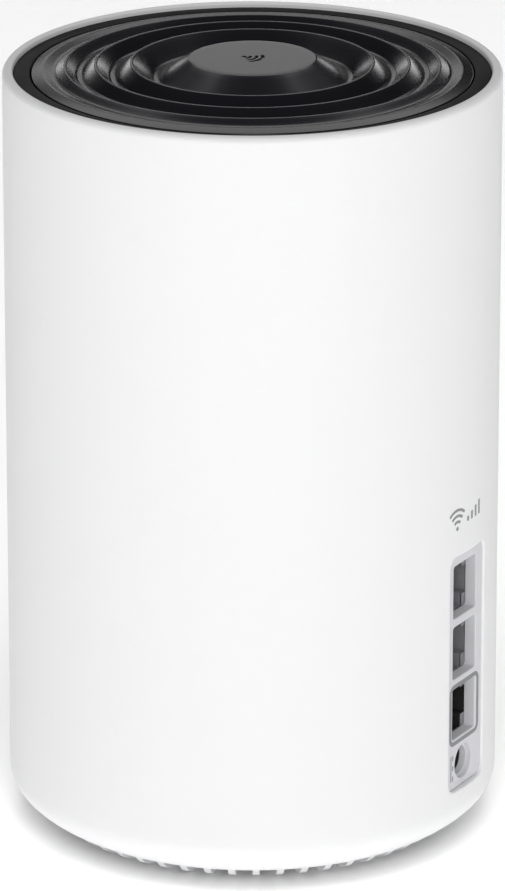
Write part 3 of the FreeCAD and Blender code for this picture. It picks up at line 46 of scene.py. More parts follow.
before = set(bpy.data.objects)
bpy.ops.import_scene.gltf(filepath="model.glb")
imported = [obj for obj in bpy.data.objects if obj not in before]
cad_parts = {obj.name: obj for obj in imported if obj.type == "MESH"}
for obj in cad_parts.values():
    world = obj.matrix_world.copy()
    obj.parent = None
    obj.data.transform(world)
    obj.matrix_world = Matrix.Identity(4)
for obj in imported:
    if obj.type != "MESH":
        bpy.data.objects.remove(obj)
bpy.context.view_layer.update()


# ---------------------------------------------------------------------------------------------
# Surfaces as arrays
# ---------------------------------------------------------------------------------------------
@dataclass
class Surface:
    """Points and quads of one piece, before it becomes a mesh.

    A quad that has two equal corners is a triangle.
    """

    points: np.ndarray
    quads: np.ndarray

    @staticmethod
    def grid(points: np.ndarray, close_rows: bool = False, close_columns: bool = False) -> "Surface":
        """Quads between neighbours of a grid of points.

        Args:
            points: Array of shape (rows, columns, 3).
            close_rows: Whether the last row meets the first.
            close_columns: Whether the last column meets the first.

        Returns:
            The surface.
        """
        rows, columns = points.shape[:2]
        index = np.arange(rows * columns).reshape(rows, columns)
        if close_rows:
            index = np.vstack([index, index[:1]])
        if close_columns:
            index = np.hstack([index, index[:, :1]])
        quads = np.stack([index[:-1, :-1], index[:-1, 1:], index[1:, 1:], index[1:, :-1]], axis=-1)
        return Surface(points.reshape(-1, 3), quads.reshape(-1, 4))

    @staticmethod
    def slab(front: np.ndarray, back: np.ndarray, ring: bool = False) -> "Surface":
        """A thin closed sheet between two equal grids of points.

        Args:
            front: Array of shape (rows, columns, 3).
            back: The same grid on the other side.
            ring: Whether the last row meets the first.

        Returns:
            The two grids joined round their edges: each row runs over the front and home over the back.
        """
        around = np.concatenate([front, back[:, ::-1]], axis=1)
        sheet = Surface.grid(around, close_rows=ring, close_columns=True)
        if not ring:
            ends = [Surface.grid(np.stack([front[row], back[row]])) for row in (0, -1)]
            sheet = sheet.joined(Surface(ends[0].points, ends[0].quads[:, ::-1]), ends[1])
        return sheet.welded().facing_out()

    def joined(self, *others: "Surface") -> "Surface":
        """This surface and others as one.

        Args:
            *others: The surfaces to add.

        Returns:
            All of them as one surface, not welded.
        """
        points, quads, start = [self.points], [self.quads], len(self.points)
        for other in others:
            points.append(other.points)
            quads.append(other.quads + start)
            start += len(other.points)
        return Surface(np.vstack(points), np.vstack(quads))

    def welded(self, reach: float = 1e-7) -> "Surface":
        """Merges points that share a place, and drops quads that have become lines.

        Args:
            reach: Size of the steps that places are rounded to.

        Returns:
            The surface with each place once.
        """
        keys = np.round(self.points / reach).astype(np.int64)
        _, first, back = np.unique(keys, axis=0, return_index=True, return_inverse=True)
        quads = back.reshape(-1)[self.quads]
        ordered = np.sort(quads, axis=1)
        repeats = (ordered[:, 1:] == ordered[:, :-1]).sum(axis=1)
        return Surface(self.points[first], quads[repeats < 2])

    def facing_out(self) -> "Surface":
        """Turns the quads over if the enclosed volume is negative.

        The volume is the sum of the signed tetrahedra between the origin and each quad's two triangles.

        Returns:
            The surface with its faces outward.
        """
        a, b, c, d = (self.points[self.quads[:, corner]] for corner in range(4))
        volume = np.einsum("ij,ij->i", a, np.cross(b, c) + np.cross(c, d)).sum()
        return self if volume > 0 else Surface(self.points, self.quads[:, ::-1])

    def mesh(self, name: str) -> bpy.types.Mesh:
        """Writes the surface into a mesh, with quads that hold a repeated corner as triangles.

        Args:
            name: Name of the mesh.

        Returns:
            The mesh.
        """
        same = self.quads == np.roll(self.quads, -1, axis=1)
        whole = self.quads[~same.any(axis=1)]
        broken = self.quads[same.any(axis=1)]
        tris = broken[~same[same.any(axis=1)]].reshape(-1, 3)
        mesh = bpy.data.meshes.new(name)
        mesh.from_pydata(self.points.tolist(), [], whole.tolist() + tris.tolist())
        mesh.validate()
        return mesh


def turned(profile: np.ndarray, columns: int = 256) -> Surface:
    """A profile turned about Z.

    Args:
        profile: Array of (radius, height) points round a closed section, or from pole to pole.
        columns: How many points go round.

    Returns:
        The surface: the point at angle a is (radius cos a, radius sin a, height).
    """
    angle = np.linspace(0.0, 2.0 * np.pi, columns, endpoint=False)
    radius, height = profile[:, :1], profile[:, 1:]
    heights = np.repeat(height, columns, axis=1)
    points = np.stack([radius * np.cos(angle), radius * np.sin(angle), heights], axis=-1)
    on_axis = bool(np.any(np.abs(profile[:, 0]) < 1e-9))
    return Surface.grid(points, close_rows=not on_axis, close_columns=True).welded().facing_out()


def arc(centre: Sequence[float], radius: float, start: float, end: float, step: float = 6.0) -> np.ndarray:
    """Points of an arc from one angle to another, in degrees, both ends included.

    Args:
        centre: (x, y) of its centre.
        radius: Its radius.
        start: First angle.
        end: Last angle.
        step: Largest turn between two points.

    Returns:
        Array of (x, y) points.
    """
    count = max(2, int(math.ceil(abs(end - start) / step)) + 1)
    angle = np.radians(np.linspace(start, end, count))
    return np.stack([centre[0] + radius * np.cos(angle), centre[1] + radius * np.sin(angle)], axis=-1)


def rounded(corners: Sequence[tuple[float, float, float]], step: float = 6.0,
            closed: bool = True) -> np.ndarray:
    """An outline with rounded corners.

    At each corner the arc starts and ends at radius * tan(turn / 2) from the corner, and its centre lies on
    the line that halves the angle.

    Args:
        corners: (x, y, radius) of each corner; a radius of 0 keeps it sharp.
        step: Largest turn between two points of an arc, in degrees.
        closed: Whether the outline returns to its first corner.

    Returns:
        Array of (x, y) points.
    """
    places = np.array([corner[:2] for corner in corners], dtype=float)
    out = []
    for number, (x, y, radius) in enumerate(corners):
        here = np.array([x, y])
        ends = number in (0, len(corners) - 1) and not closed
        if radius <= 0 or ends:
            out.append(here[None])
            continue
        into = here - places[number - 1]
        away = places[(number + 1) % len(corners)] - here
        into, away = into / np.linalg.norm(into), away / np.linalg.norm(away)
        turn = math.atan2(into[0] * away[1] - into[1] * away[0], float(into @ away))
        back = radius * math.tan(abs(turn) / 2)
        normal = np.array([-into[1], into[0]]) * math.copysign(1.0, turn)
        centre = here - into * back + normal * radius
        start = math.degrees(math.atan2(*(-normal)[::-1]))
        out.append(arc(centre, radius, start, start + math.degrees(turn), step))
    return np.vstack(out)


def resampled(outline: np.ndarray, longest: float) -> np.ndarray:
    """Adds points to an open line so that no step is longer than a limit.

    Args:
        outline: Array of (x, y) points.
        longest: The longest step allowed.

    Returns:
        Array of (x, y) points.
    """
    pieces = []
    for a, b in zip(outline[:-1], outline[1:]):
        count = max(1, int(math.ceil(float(np.linalg.norm(b - a)) / longest)))
        pieces.append(a + (b - a) * np.linspace(0, 1, count, endpoint=False)[:, None])
    return np.vstack([*pieces, outline[-1:]])


def add_piece(name: str, surface: Surface, finish: "Finish", replaces: Sequence[str] = ()) -> bpy.types.Object:
    """Makes an object of a surface, dresses it and lets it ride on the node's body.

    Args:
        name: Name of the piece.
        surface: Its closed surface, in the row frame.
        finish: The finish that it wears.
        replaces: CAD nodes that it stands for.

    Returns:
        The object.
    """
    mesh = surface.mesh(name)
    mesh.polygons.foreach_set("use_smooth", np.ones(len(mesh.polygons), dtype=bool))
    mesh.set_sharp_from_angle(angle=math.radians(SMOOTH_BELOW))
    mesh.materials.append(finish.material())
    piece = bpy.data.objects.new(name, mesh)
    bpy.context.scene.collection.objects.link(piece)
    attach(piece, BODY)
    if replaces:
        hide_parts(*replaces)
    log.info("%s: %d faces", name, len(mesh.polygons))
    return piece


# ---------------------------------------------------------------------------------------------
# Shader nodes
# ---------------------------------------------------------------------------------------------
class Graph:
    """Short-hand for adding linked nodes to one node tree."""

    def __init__(self, tree: bpy.types.NodeTree) -> None:
        """Keeps the tree that is added to."""
        self.tree = tree

    def add(self, kind: str, settings: dict | None = None, **inputs: object) -> bpy.types.Node:
        """Adds a node.

        Args:
            kind: The node's type.
            settings: Its properties, by name.
            **inputs: Its inputs by name, with spaces as underscores; a socket is linked, a value is set.

        Returns:
            The node.
        """
        node = self.tree.nodes.new(kind)
        for name, value in (settings or {}).items():
            setattr(node, name, value)
        for name, value in inputs.items():
            key = name.replace("_", " ")
            slot = node.inputs[int(key[1:])] if key[0] == "i" and key[1:].isdigit() else node.inputs[key]
            if isinstance(value, bpy.types.NodeSocket):
                self.tree.links.new(value, slot)
            else:
                slot.default_value = value
        return node

    def maths(self, operation: str, first: object, second: object = 0.0,
              third: object = 0.0) -> bpy.types.NodeSocket:
        """The output of a Math node."""
        return self.add("ShaderNodeMath", {"operation": operation}, i0=first, i1=second, i2=third).outputs[0]

    def ramp(self, value: object, low: float, high: float, start: float = 0.0, end: float = 1.0
             ) -> bpy.types.NodeSocket:
        """Maps low..high to start..end, smoothly and clamped.

        Args:
            value: What is mapped.
            low: Lower end of its range.
            high: Upper end of its range.
            start: Result at low.
            end: Result at high.

        Returns:
            Socket of the result.
        """
        node = self.add("ShaderNodeMapRange", {"interpolation_type": "SMOOTHSTEP"}, Value=value)
        for key, number in (("From Min", low), ("From Max", high), ("To Min", start), ("To Max", end)):
            node.inputs[key].default_value = number
        return node.outputs["Result"]

    def mix(self, mask: object, first: object, second: object) -> bpy.types.NodeSocket:
        """A colour between two, by a mask.

        Args:
            mask: 0 for the first colour and 1 for the second.
            first: A colour or a socket.
            second: A colour or a socket.

        Returns:
            Socket of the colour.
        """
        node = self.add("ShaderNodeMix", {"data_type": "RGBA"})
        for place, value in ((0, mask), (6, first), (7, second)):
            if isinstance(value, bpy.types.NodeSocket):
                self.tree.links.new(value, node.inputs[place])
            else:
                node.inputs[place].default_value = value
        return node.outputs[2]

    def place(self) -> bpy.types.NodeSocket:
        """Object coordinates."""
        return self.add("ShaderNodeTexCoord").outputs["Object"]


GroupParts = tuple[bpy.types.NodeTree, Graph, bpy.types.Node, bpy.types.Node]


def new_group(name: str, inputs: dict[str, float], outputs: Sequence[str]) -> GroupParts:
    """An empty shader node group.

    Args:
        name: The group's name.
        inputs: Its number inputs and their defaults.
        outputs: Its number outputs.

    Returns:
        The tree, its graph, its input node and its output node.
    """
    tree = bpy.data.node_groups.new(name, "ShaderNodeTree")
    for key, value in inputs.items():
        socket = tree.interface.new_socket(name=key, in_out="INPUT", socket_type="NodeSocketFloat")
        socket.default_value = value
    for key in outputs:
        tree.interface.new_socket(name=key, in_out="OUTPUT", socket_type="NodeSocketFloat")
    graph = Graph(tree)
    return tree, graph, graph.add("NodeGroupInput"), graph.add("NodeGroupOutput")


def shared(name: str, build: Callable[[], bpy.types.NodeTree]) -> bpy.types.NodeTree:
    """The node group of that name, built the first time it is asked for."""
    return bpy.data.node_groups.get(name) or build()


def moulded_grain() -> bpy.types.NodeTree:
    """Fine grain of a moulded surface, with slow waviness under it.

    Height is fine noise plus slow noise; Tone is a slow mottling about 0.5 for colour and roughness.

    Returns:
        The node group.
    """
    tree, graph, entry, leave = new_group("moulded_grain", {"Grain": 9000.0, "Wave": 60.0, "Wave Share": 0.5},
                                          ["Height", "Tone"])
    where = graph.place()
    fine = graph.add("ShaderNodeTexNoise", {}, Vector=where, Scale=entry.outputs["Grain"], Detail=2.0)
    slow = graph.add("ShaderNodeTexNoise", {}, Vector=where, Scale=entry.outputs["Wave"], Detail=1.0)
    height = graph.maths("MULTIPLY_ADD", slow.outputs["Fac"], entry.outputs["Wave Share"],
                         fine.outputs["Fac"])
    tree.links.new(height, leave.inputs["Height"])
    tree.links.new(graph.ramp(slow.outputs["Fac"], 0.25, 0.75), leave.inputs["Tone"])
    return tree


def settled_dust() -> bpy.types.NodeTree:
    """Sparse specks of dust: the centres of small cells where a coarse noise allows them.

    Mask is 1 on a speck.

    Returns:
        The node group.
    """
    tree, graph, entry, leave = new_group("settled_dust", {"Specks": 900.0, "Size": 0.12, "Amount": 0.3},
                                          ["Mask"])
    where = graph.place()
    cells = graph.add("ShaderNodeTexVoronoi", {}, Vector=where, Scale=entry.outputs["Specks"])
    patches = graph.add("ShaderNodeTexNoise", {}, Vector=where, Scale=90.0, Detail=3.0)
    speck = graph.maths("LESS_THAN", cells.outputs["Distance"], entry.outputs["Size"])
    allowed = graph.maths("LESS_THAN", patches.outputs["Fac"], entry.outputs["Amount"])
    tree.links.new(graph.maths("MULTIPLY", speck, allowed), leave.inputs["Mask"])
    return tree


def drawn_lines() -> bpy.types.NodeTree:
    """Lines left by rolling or extrusion: noise stretched along Z.

    Height and Tone follow the lines.

    Returns:
        The node group.
    """
    tree, graph, entry, leave = new_group("drawn_lines", {"Across": 2500.0, "Along": 60.0},
                                          ["Height", "Tone"])
    where = graph.place()
    scale = graph.add("ShaderNodeCombineXYZ", {}, X=entry.outputs["Across"], Y=entry.outputs["Across"],
                      Z=entry.outputs["Along"]).outputs["Vector"]
    product = graph.add("ShaderNodeVectorMath", {"operation": "MULTIPLY"}, i0=where, i1=scale)
    stretched = product.outputs["Vector"]
    noise = graph.add("ShaderNodeTexNoise", {}, Vector=stretched, Scale=1.0, Detail=3.0)
    tree.links.new(noise.outputs["Fac"], leave.inputs["Height"])
    tree.links.new(graph.ramp(noise.outputs["Fac"], 0.3, 0.7), leave.inputs["Tone"])
    return tree


# ---------------------------------------------------------------------------------------------
# Finishes
# ---------------------------------------------------------------------------------------------
Colour = tuple[float, float, float]


def rgba(colour: Colour, gain: float = 1.0) -> tuple[float, float, float, float]:
    """A colour with full alpha, made lighter or darker by a gain."""
    return (*(min(1.0, value * gain) for value in colour), 1.0)


@dataclass(frozen=True)
class Finish:
    """What every finish has: a name, a colour and a roughness."""

    name: str
    colour: Colour
    roughness: float = 0.5

    def material(self) -> bpy.types.Material:
        """The material of this finish, built the first time it is asked for.

        Returns:
            The material.
        """
        made = bpy.data.materials.get(self.name)
        if made is None:
            made = bpy.data.materials.new(self.name)
            made.use_nodes = True
            graph = Graph(made.node_tree)
            shader = made.node_tree.nodes["Principled BSDF"]
            shader.inputs["Base Color"].default_value = rgba(self.colour)
            shader.inputs["Roughness"].default_value = self.roughness
            made.diffuse_color = rgba(self.colour)
            self.shade(graph, shader)
        return made

    def shade(self, graph: Graph, shader: bpy.types.Node) -> None:
        """Adds the finish's own nodes to its material.

        Args:
            graph: The material's nodes.
            shader: Its Principled BSDF.
        """
        raise NotImplementedError

    def bump(self, graph: Graph, shader: bpy.types.Node, height: bpy.types.NodeSocket, strength: float,
             distance: float) -> None:
        """Feeds a height to the shader's normal through a bump node."""
        node = graph.add("ShaderNodeBump", {}, Height=height, Strength=strength, Distance=distance)
        graph.tree.links.new(node.outputs["Normal"], shader.inputs["Normal"])


@dataclass(frozen=True)
class Moulding(Finish):
    """A moulded plastic: fine grain, slow waviness, slight mottling and a few specks of dust."""

    grain: float = 9000.0
    wave: float = 60.0
    wave_share: float = 0.5
    depth: float = 0.02
    mottle: float = 0.03
    dust: float = 0.0
    specular: float = 0.5

    def shade(self, graph: Graph, shader: bpy.types.Node) -> None:
        """Grain to bump, mottling to colour and roughness, dust to colour.

        Args:
            graph: The material's nodes.
            shader: Its Principled BSDF.
        """
        grain = graph.add("ShaderNodeGroup", {"node_tree": shared("moulded_grain", moulded_grain)},
                          Grain=self.grain, Wave=self.wave, Wave_Share=self.wave_share)
        tone = grain.outputs["Tone"]
        colour = graph.mix(tone, rgba(self.colour, 1.0 - self.mottle), rgba(self.colour, 1.0 + self.mottle))
        if self.dust > 0.0:
            dust = graph.add("ShaderNodeGroup", {"node_tree": shared("settled_dust", settled_dust)},
                             Amount=self.dust).outputs["Mask"]
            colour = graph.mix(graph.maths("MULTIPLY", dust, 0.35), colour, (0.5, 0.5, 0.5, 1.0))
        rough = graph.ramp(tone, 0.0, 1.0, self.roughness * 0.94, self.roughness * 1.06)
        graph.tree.links.new(colour, shader.inputs["Base Color"])
        graph.tree.links.new(rough, shader.inputs["Roughness"])
        shader.inputs["Specular IOR Level"].default_value = self.specular
        self.bump(graph, shader, grain.outputs["Height"], self.depth, 0.00005)


@dataclass(frozen=True)
class Metal(Finish):
    """A drawn, rolled or plated metal with fine lines along Z."""

    across: float = 2500.0
    along: float = 60.0
    depth: float = 0.15
    mottle: float = 0.12

    def shade(self, graph: Graph, shader: bpy.types.Node) -> None:
        """Lines to bump, colour and roughness.

        Args:
            graph: The material's nodes.
            shader: Its Principled BSDF.
        """
        lines = graph.add("ShaderNodeGroup", {"node_tree": shared("drawn_lines", drawn_lines)},
                          Across=self.across, Along=self.along)
        tone = lines.outputs["Tone"]
        colour = graph.mix(tone, rgba(self.colour, 1.0 - self.mottle), rgba(self.colour, 1.0 + self.mottle))
        graph.tree.links.new(colour, shader.inputs["Base Color"])
        graph.tree.links.new(graph.ramp(tone, 0.0, 1.0, self.roughness * 0.8, self.roughness * 1.2),
                             shader.inputs["Roughness"])
        shader.inputs["Metallic"].default_value = 1.0
        self.bump(graph, shader, lines.outputs["Height"], self.depth, 0.00005)


SHELL_WHITE = Moulding("shell_white", (0.745, 0.745, 0.76), 0.42, grain=7000.0, wave=25.0, wave_share=1.5,
                       depth=0.05, mottle=0.006)
GLOSS_BLACK = Moulding("gloss_black", (0.008, 0.008, 0.0095), 0.11, grain=600.0, wave=90.0, wave_share=2.0,
                       depth=0.0025, mottle=0.1, dust=0.30)
BEZEL_GREY = Moulding("bezel_grey", (0.62, 0.62, 0.64), 0.5, grain=9000.0, depth=0.12, mottle=0.02)
BASE_WHITE = Moulding("base_white", (0.74, 0.74, 0.75), 0.5, grain=9000.0, depth=0.12, mottle=0.015)
FOOT_RUBBER = Moulding("foot_rubber", (0.20, 0.20, 0.21), 0.8, grain=5000.0, depth=0.4, mottle=0.08)
LABEL_FILM = Moulding("label_film", (0.66, 0.66, 0.68), 0.4, grain=4000.0, depth=0.05, mottle=0.03)
SATIN_BLACK = Moulding("satin_black", (0.005, 0.005, 0.0055), 0.38, grain=600.0, wave=90.0, wave_share=2.0,
                       depth=0.01, mottle=0.1, dust=0.30, specular=0.03)
FRAME_PLASTIC = Moulding("frame_plastic", (0.030, 0.030, 0.033), 0.55, grain=6000.0, depth=0.3, mottle=0.1)
CHIP_BLACK = Moulding("chip_black", (0.022, 0.022, 0.024), 0.6, grain=8000.0, depth=0.3, mottle=0.12)
PAD_GREY = Moulding("pad_grey", (0.30, 0.32, 0.36), 0.85, grain=4000.0, depth=0.3, mottle=0.08)
JACK_GREY = Moulding("jack_grey", (0.115, 0.115, 0.12), 0.4, grain=7000.0, depth=0.15, mottle=0.08)
JACK_BLACK = Moulding("jack_black", (0.012, 0.012, 0.013), 0.45, grain=7000.0, depth=0.15, mottle=0.1)
BUTTON_WHITE = Moulding("button_white", (0.75, 0.75, 0.76), 0.35, grain=7000.0, depth=0.08, mottle=0.02)
GUIDE_CLEAR = Moulding("guide_clear", (0.72, 0.75, 0.78), 0.25, grain=2000.0, depth=0.1, mottle=0.03)
LAMP_WHITE = Moulding("lamp_white", (0.80, 0.74, 0.45), 0.3, grain=4000.0, depth=0.1, mottle=0.05)
CABLE_BLACK = Moulding("cable_black", (0.02, 0.02, 0.021), 0.5, grain=6000.0, depth=0.2, mottle=0.1)
RIBBON_WHITE = Moulding("ribbon_white", (0.70, 0.68, 0.60), 0.45, grain=3000.0, depth=0.1, mottle=0.05)
PRINT_GREY = Moulding("print_grey", (0.28, 0.28, 0.29), 0.5, grain=9000.0, depth=0.1, mottle=0.04)
OUTLINE_GREY = Moulding("outline_grey", (0.24, 0.24, 0.25), 0.5, grain=9000.0, depth=0.1, mottle=0.04)
SCREW_STEEL = Metal("screw_steel", (0.42, 0.42, 0.44), 0.32)
CAN_STEEL = Metal("can_steel", (0.60, 0.60, 0.61), 0.28, across=1500.0, mottle=0.06)
JACK_STEEL = Metal("jack_steel", (0.46, 0.46, 0.47), 0.3, across=1800.0, mottle=0.08)
SINK_METAL = Metal("sink_metal", (0.62, 0.62, 0.64), 0.38, across=2200.0, along=20.0)
GOLD_PLATE = Metal("gold_plate", (0.80, 0.58, 0.24), 0.25, across=3000.0, along=800.0, mottle=0.05)


@dataclass(frozen=True)
class BoardMask(Finish):
    """Green solder mask over copper: lighter tracks and pads in a grid of cells."""

    track: Colour = (0.02, 0.20, 0.09)

    def shade(self, graph: Graph, shader: bpy.types.Node) -> None:
        """Square cells of a Voronoi pattern give the tracks, small round cells the vias.

        Args:
            graph: The material's nodes.
            shader: Its Principled BSDF.
        """
        where = graph.place()
        cells = graph.add("ShaderNodeTexVoronoi", {"feature": "DISTANCE_TO_EDGE"}, Vector=where, Scale=350.0)
        vias = graph.add("ShaderNodeTexVoronoi", {}, Vector=where, Scale=600.0, Randomness=0.35)
        track = graph.maths("LESS_THAN", cells.outputs["Distance"], 0.06)
        via = graph.maths("LESS_THAN", vias.outputs["Distance"], 0.16)
        colour = graph.mix(track, rgba(self.colour), rgba(self.track))
        colour = graph.mix(via, colour, (0.5, 0.42, 0.2, 1.0))
        graph.tree.links.new(colour, shader.inputs["Base Color"])
        self.bump(graph, shader, graph.maths("ADD", track, via), 0.3, 0.00003)


BOARD_GREEN = BoardMask("board_green", (0.008, 0.10, 0.04), 0.35)


# ---------------------------------------------------------------------------------------------
# Casing
# ---------------------------------------------------------------------------------------------
@dataclass
class Shell:
    """The white outer shell: a turned profile with a rounded window in its back."""

    wall: float = 2.2 * MM
    rim_round: float = 1.45 * MM
    rim_inner_round: float = 0.6 * MM
    ledge_width: float = 2.1 * MM
    ledge_depth: float = 3.0 * MM
    ledge_thick: float = 2.0 * MM
    tuck_height: float = 12.3 * MM
    tuck_round: float = 7.0 * MM
    tuck_turn: float = 46.0
    edge_inset: float = 6.9 * MM
    window_width: float = 15.4 * MM
    window_round: float = 2.3 * MM
    window_edge: float = 0.35 * MM
    flange_reach: float = 2.2 * MM
    columns_far: int = 160
    patch_turn: float = 13.0
    patch_columns: int = 52
    patch_margin: float = 1.6 * MM
    row_step: float = 1.0 * MM
    low: Vector = field(default_factory=lambda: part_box("outer_shell")[0])
    high: Vector = field(default_factory=lambda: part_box("outer_shell")[1])

    @property
    def radius(self) -> float:
        """Outside radius."""
        return self.high.x

    @property
    def window(self) -> tuple[float, float]:
        """Lower and upper end of the window."""
        low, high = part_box("port_bezel")
        return low.z + self.flange_reach, high.z - self.flange_reach

    def patch_rows(self) -> np.ndarray:
        """Heights of the rows beside the window, from just below it to just above it.

        Returns:
            Array of heights, going up.
        """
        low, high = self.window
        low, high = low - self.patch_margin, high + self.patch_margin
        return np.linspace(low, high, int(round((high - low) / self.row_step)) + 1)

    def tuck(self, inward: float) -> np.ndarray:
        """The two tangent arcs of the tuck, from the straight wall down to the edge, moved in by a wall.

        The lower arc's centre lies on the line through the upper arc's centre and the joint. Its radius
        follows from its passing through the edge: m = (r^2 - v.v) / (2 (v.n - r)) more than the upper one's.

        Args:
            inward: Distance inside the outer face.

        Returns:
            Array of (radius, height) points, going down.
        """
        turn = math.radians(self.tuck_turn)
        normal = np.array([math.cos(turn), -math.sin(turn)])
        upper = np.array([self.radius - self.tuck_round, self.tuck_height])
        edge = np.array([self.radius - self.edge_inset, self.low.z])
        span = edge - upper
        more = (self.tuck_round**2 - span @ span) / (2 * (span @ normal - self.tuck_round))
        lower = upper - normal * more
        round_low = self.tuck_round + more
        end = math.degrees(math.atan2(*(edge - lower)[::-1]))
        high = arc(upper, self.tuck_round - inward, 0.0, -self.tuck_turn, 3.0)
        return np.vstack([high, arc(lower, round_low - inward, -self.tuck_turn, end, 1.5)[1:]])

    def wall_rows(self) -> np.ndarray:
        """Heights of the straight wall's rows, from the tuck to the rim's rounding.

        Returns:
            Array of heights, going up.
        """
        rows = self.patch_rows()
        top = self.high.z - self.rim_round
        below = np.linspace(self.tuck_height, rows[0], 4)[1:-1]
        above = np.linspace(rows[-1], top, 50)[1:-1]
        return np.concatenate([below, rows, above])

    def profile(self) -> np.ndarray:
        """The closed section, starting at the edge and going up the outside.

        Returns:
            Array of (radius, height) points.
        """
        r, z, t = self.radius, self.high.z, self.wall
        rows = self.wall_rows()
        outside = np.stack([np.full_like(rows, r), rows], axis=-1)
        inside = np.stack([np.full_like(rows, r - t), rows], axis=-1)[::-1]
        under = z - self.ledge_depth - self.ledge_thick
        rim = rounded([(r, z - 10 * MM, 0), (r, z, self.rim_round), (r - t, z, self.rim_inner_round),
                       (r - t, z - self.ledge_depth, 0), (r - t - self.ledge_width, z - self.ledge_depth, 0),
                       (r - t - self.ledge_width, under, 0), (r - t, under - self.ledge_width, 0)],
                      step=5.0, closed=False)[1:]
        inside = inside[inside[:, 1] < under - self.ledge_width]
        return np.vstack([self.tuck(0.0)[::-1], outside, rim, inside, self.tuck(t)])

    def columns(self) -> np.ndarray:
        """Angles of the columns: close together across the window, wider elsewhere.

        Returns:
            Array of angles in radians.
        """
        half = math.radians(self.patch_turn)
        near = np.linspace(math.pi / 2 - half, math.pi / 2 + half, self.patch_columns + 1)
        far = np.linspace(math.pi / 2 + half, 2.5 * math.pi - half, self.columns_far + 1)[1:-1]
        return np.concatenate([near, far])

    def window_loop(self, shrink: float) -> np.ndarray:
        """Points of the window's outline as (x, z), one for each point of the patch's edge.

        Each side of the patch owns one side of the window and the halves of its two corners; its points are
        spread evenly along that stretch.

        Args:
            shrink: How far inside the window the outline runs.

        Returns:
            Array of (x, z) points.
        """
        low, high = self.window
        half = self.window_width / 2 - shrink
        low, high, radius = low + shrink, high - shrink, self.window_round - shrink
        corners = [(half, low, radius), (half, high, radius), (-half, high, radius), (-half, low, radius)]
        outline = rounded(corners, step=2.0)
        per_corner = len(outline) // 4
        middles = [number * per_corner + per_corner // 2 for number in range(4)]
        sides = []
        counts = (len(self.patch_rows()) - 1, self.patch_columns) * 2
        for number, count in enumerate(counts):
            start, end = middles[number], middles[(number + 1) % 4]
            wrapped = np.vstack([outline[start:], outline[:end + 1]])
            stretch = outline[start:end + 1] if end > start else wrapped
            steps = np.concatenate([[0.0], np.cumsum(np.linalg.norm(np.diff(stretch, axis=0), axis=1))])
            wanted = np.linspace(0.0, steps[-1], count, endpoint=False)
            sides.append(np.stack([np.interp(wanted, steps, stretch[:, axis]) for axis in (0, 1)], axis=-1))
        return np.vstack(sides)

    def patch_loop(self) -> np.ndarray:
        """Points of the patch's edge as (angle, z), going round the same way as the window's outline.

        Returns:
            Array of (angle, z) points.
        """
        rows, turn = self.patch_rows(), self.columns()[:self.patch_columns + 1]
        right, left = np.full_like(rows, turn[0]), np.full_like(rows, turn[-1])
        bottom, top = np.full_like(turn, rows[0]), np.full_like(turn, rows[-1])
        sides = [(right, rows), (turn, top), (left, rows[::-1]), (turn[::-1], bottom)]
        return np.vstack([np.stack(side, axis=-1)[:-1] for side in sides])

    def window_surface(self) -> Surface:
        """The patch with the window, from its outer edge over the opening's lip to its inner edge.

        Rows blend from the patch's edge to the outline: p(t) = edge (1 - t) + outline t in angle and height.
        The lip is a quarter circle between the outside and the opening's wall.

        Returns:
            The patch, open at its outer and inner edges.
        """
        edge = self.patch_loop()
        outline = self.window_loop(0.0)
        wide = self.window_loop(-self.window_edge)

        def on_tube(angle: np.ndarray, height: np.ndarray, radius: float) -> np.ndarray:
            """Points at angles and heights on a tube."""
            return np.stack([radius * np.cos(angle), radius * np.sin(angle), height], axis=-1)

        def blend(loop: np.ndarray, radius: float, shares: Iterable[float]) -> list[np.ndarray]:
            """Rows between the patch's edge and a loop, on a tube."""
            angle = np.arccos(loop[:, 0] / radius)
            return [on_tube(edge[:, 0] * (1 - t) + angle * t, edge[:, 1] * (1 - t) + loop[:, 1] * t, radius)
                    for t in shares]

        def at_depth(loop: np.ndarray, radius: float) -> np.ndarray:
            """A loop laid on a tube."""
            return np.stack([loop[:, 0], np.sqrt(radius**2 - loop[:, 0]**2), loop[:, 1]], axis=-1)

        shares = np.linspace(0.0, 1.0, 7)
        rows = blend(wide, self.radius, shares)
        for angle in np.radians(np.linspace(15, 90, 6)):
            loop = wide + (outline - wide) * math.sin(angle)
            rows.append(at_depth(loop, self.radius - self.window_edge * (1 - math.cos(angle))))
        inner = self.radius - self.wall
        rows.append(at_depth(outline, inner + self.window_edge))
        rows += blend(outline, inner, shares[::-1])
        return Surface.grid(np.stack(rows), close_columns=True)

    def surface(self) -> Surface:
        """The whole shell, closed.

        Returns:
            The closed shell.
        """
        profile, angle = self.profile(), self.columns()
        points = np.stack([profile[:, :1] * np.cos(angle), profile[:, :1] * np.sin(angle),
                           np.repeat(profile[:, 1:], len(angle), axis=1)], axis=-1)
        tube = Surface.grid(points, close_rows=True, close_columns=True)
        rows = self.patch_rows()
        middle = tube.points[tube.quads].mean(axis=1)
        reach = np.hypot(middle[:, 0], middle[:, 1])
        outer = reach > self.radius - self.wall * 1.2
        within = (middle[:, 2] > rows[0]) & (middle[:, 2] < rows[-1]) & outer
        turn = np.degrees(np.arctan2(middle[:, 1], middle[:, 0]))
        opened = Surface(tube.points, tube.quads[~(within & (np.abs(turn - 90) < self.patch_turn))])
        patch = self.window_surface()
        outward = patch.points[patch.quads[0]]
        normal = np.cross(outward[1] - outward[0], outward[2] - outward[1])
        if normal @ outward[0] * np.sign(self.tube_sense(opened)) < 0:
            patch = Surface(patch.points, patch.quads[:, ::-1])
        return opened.joined(patch).welded().facing_out()

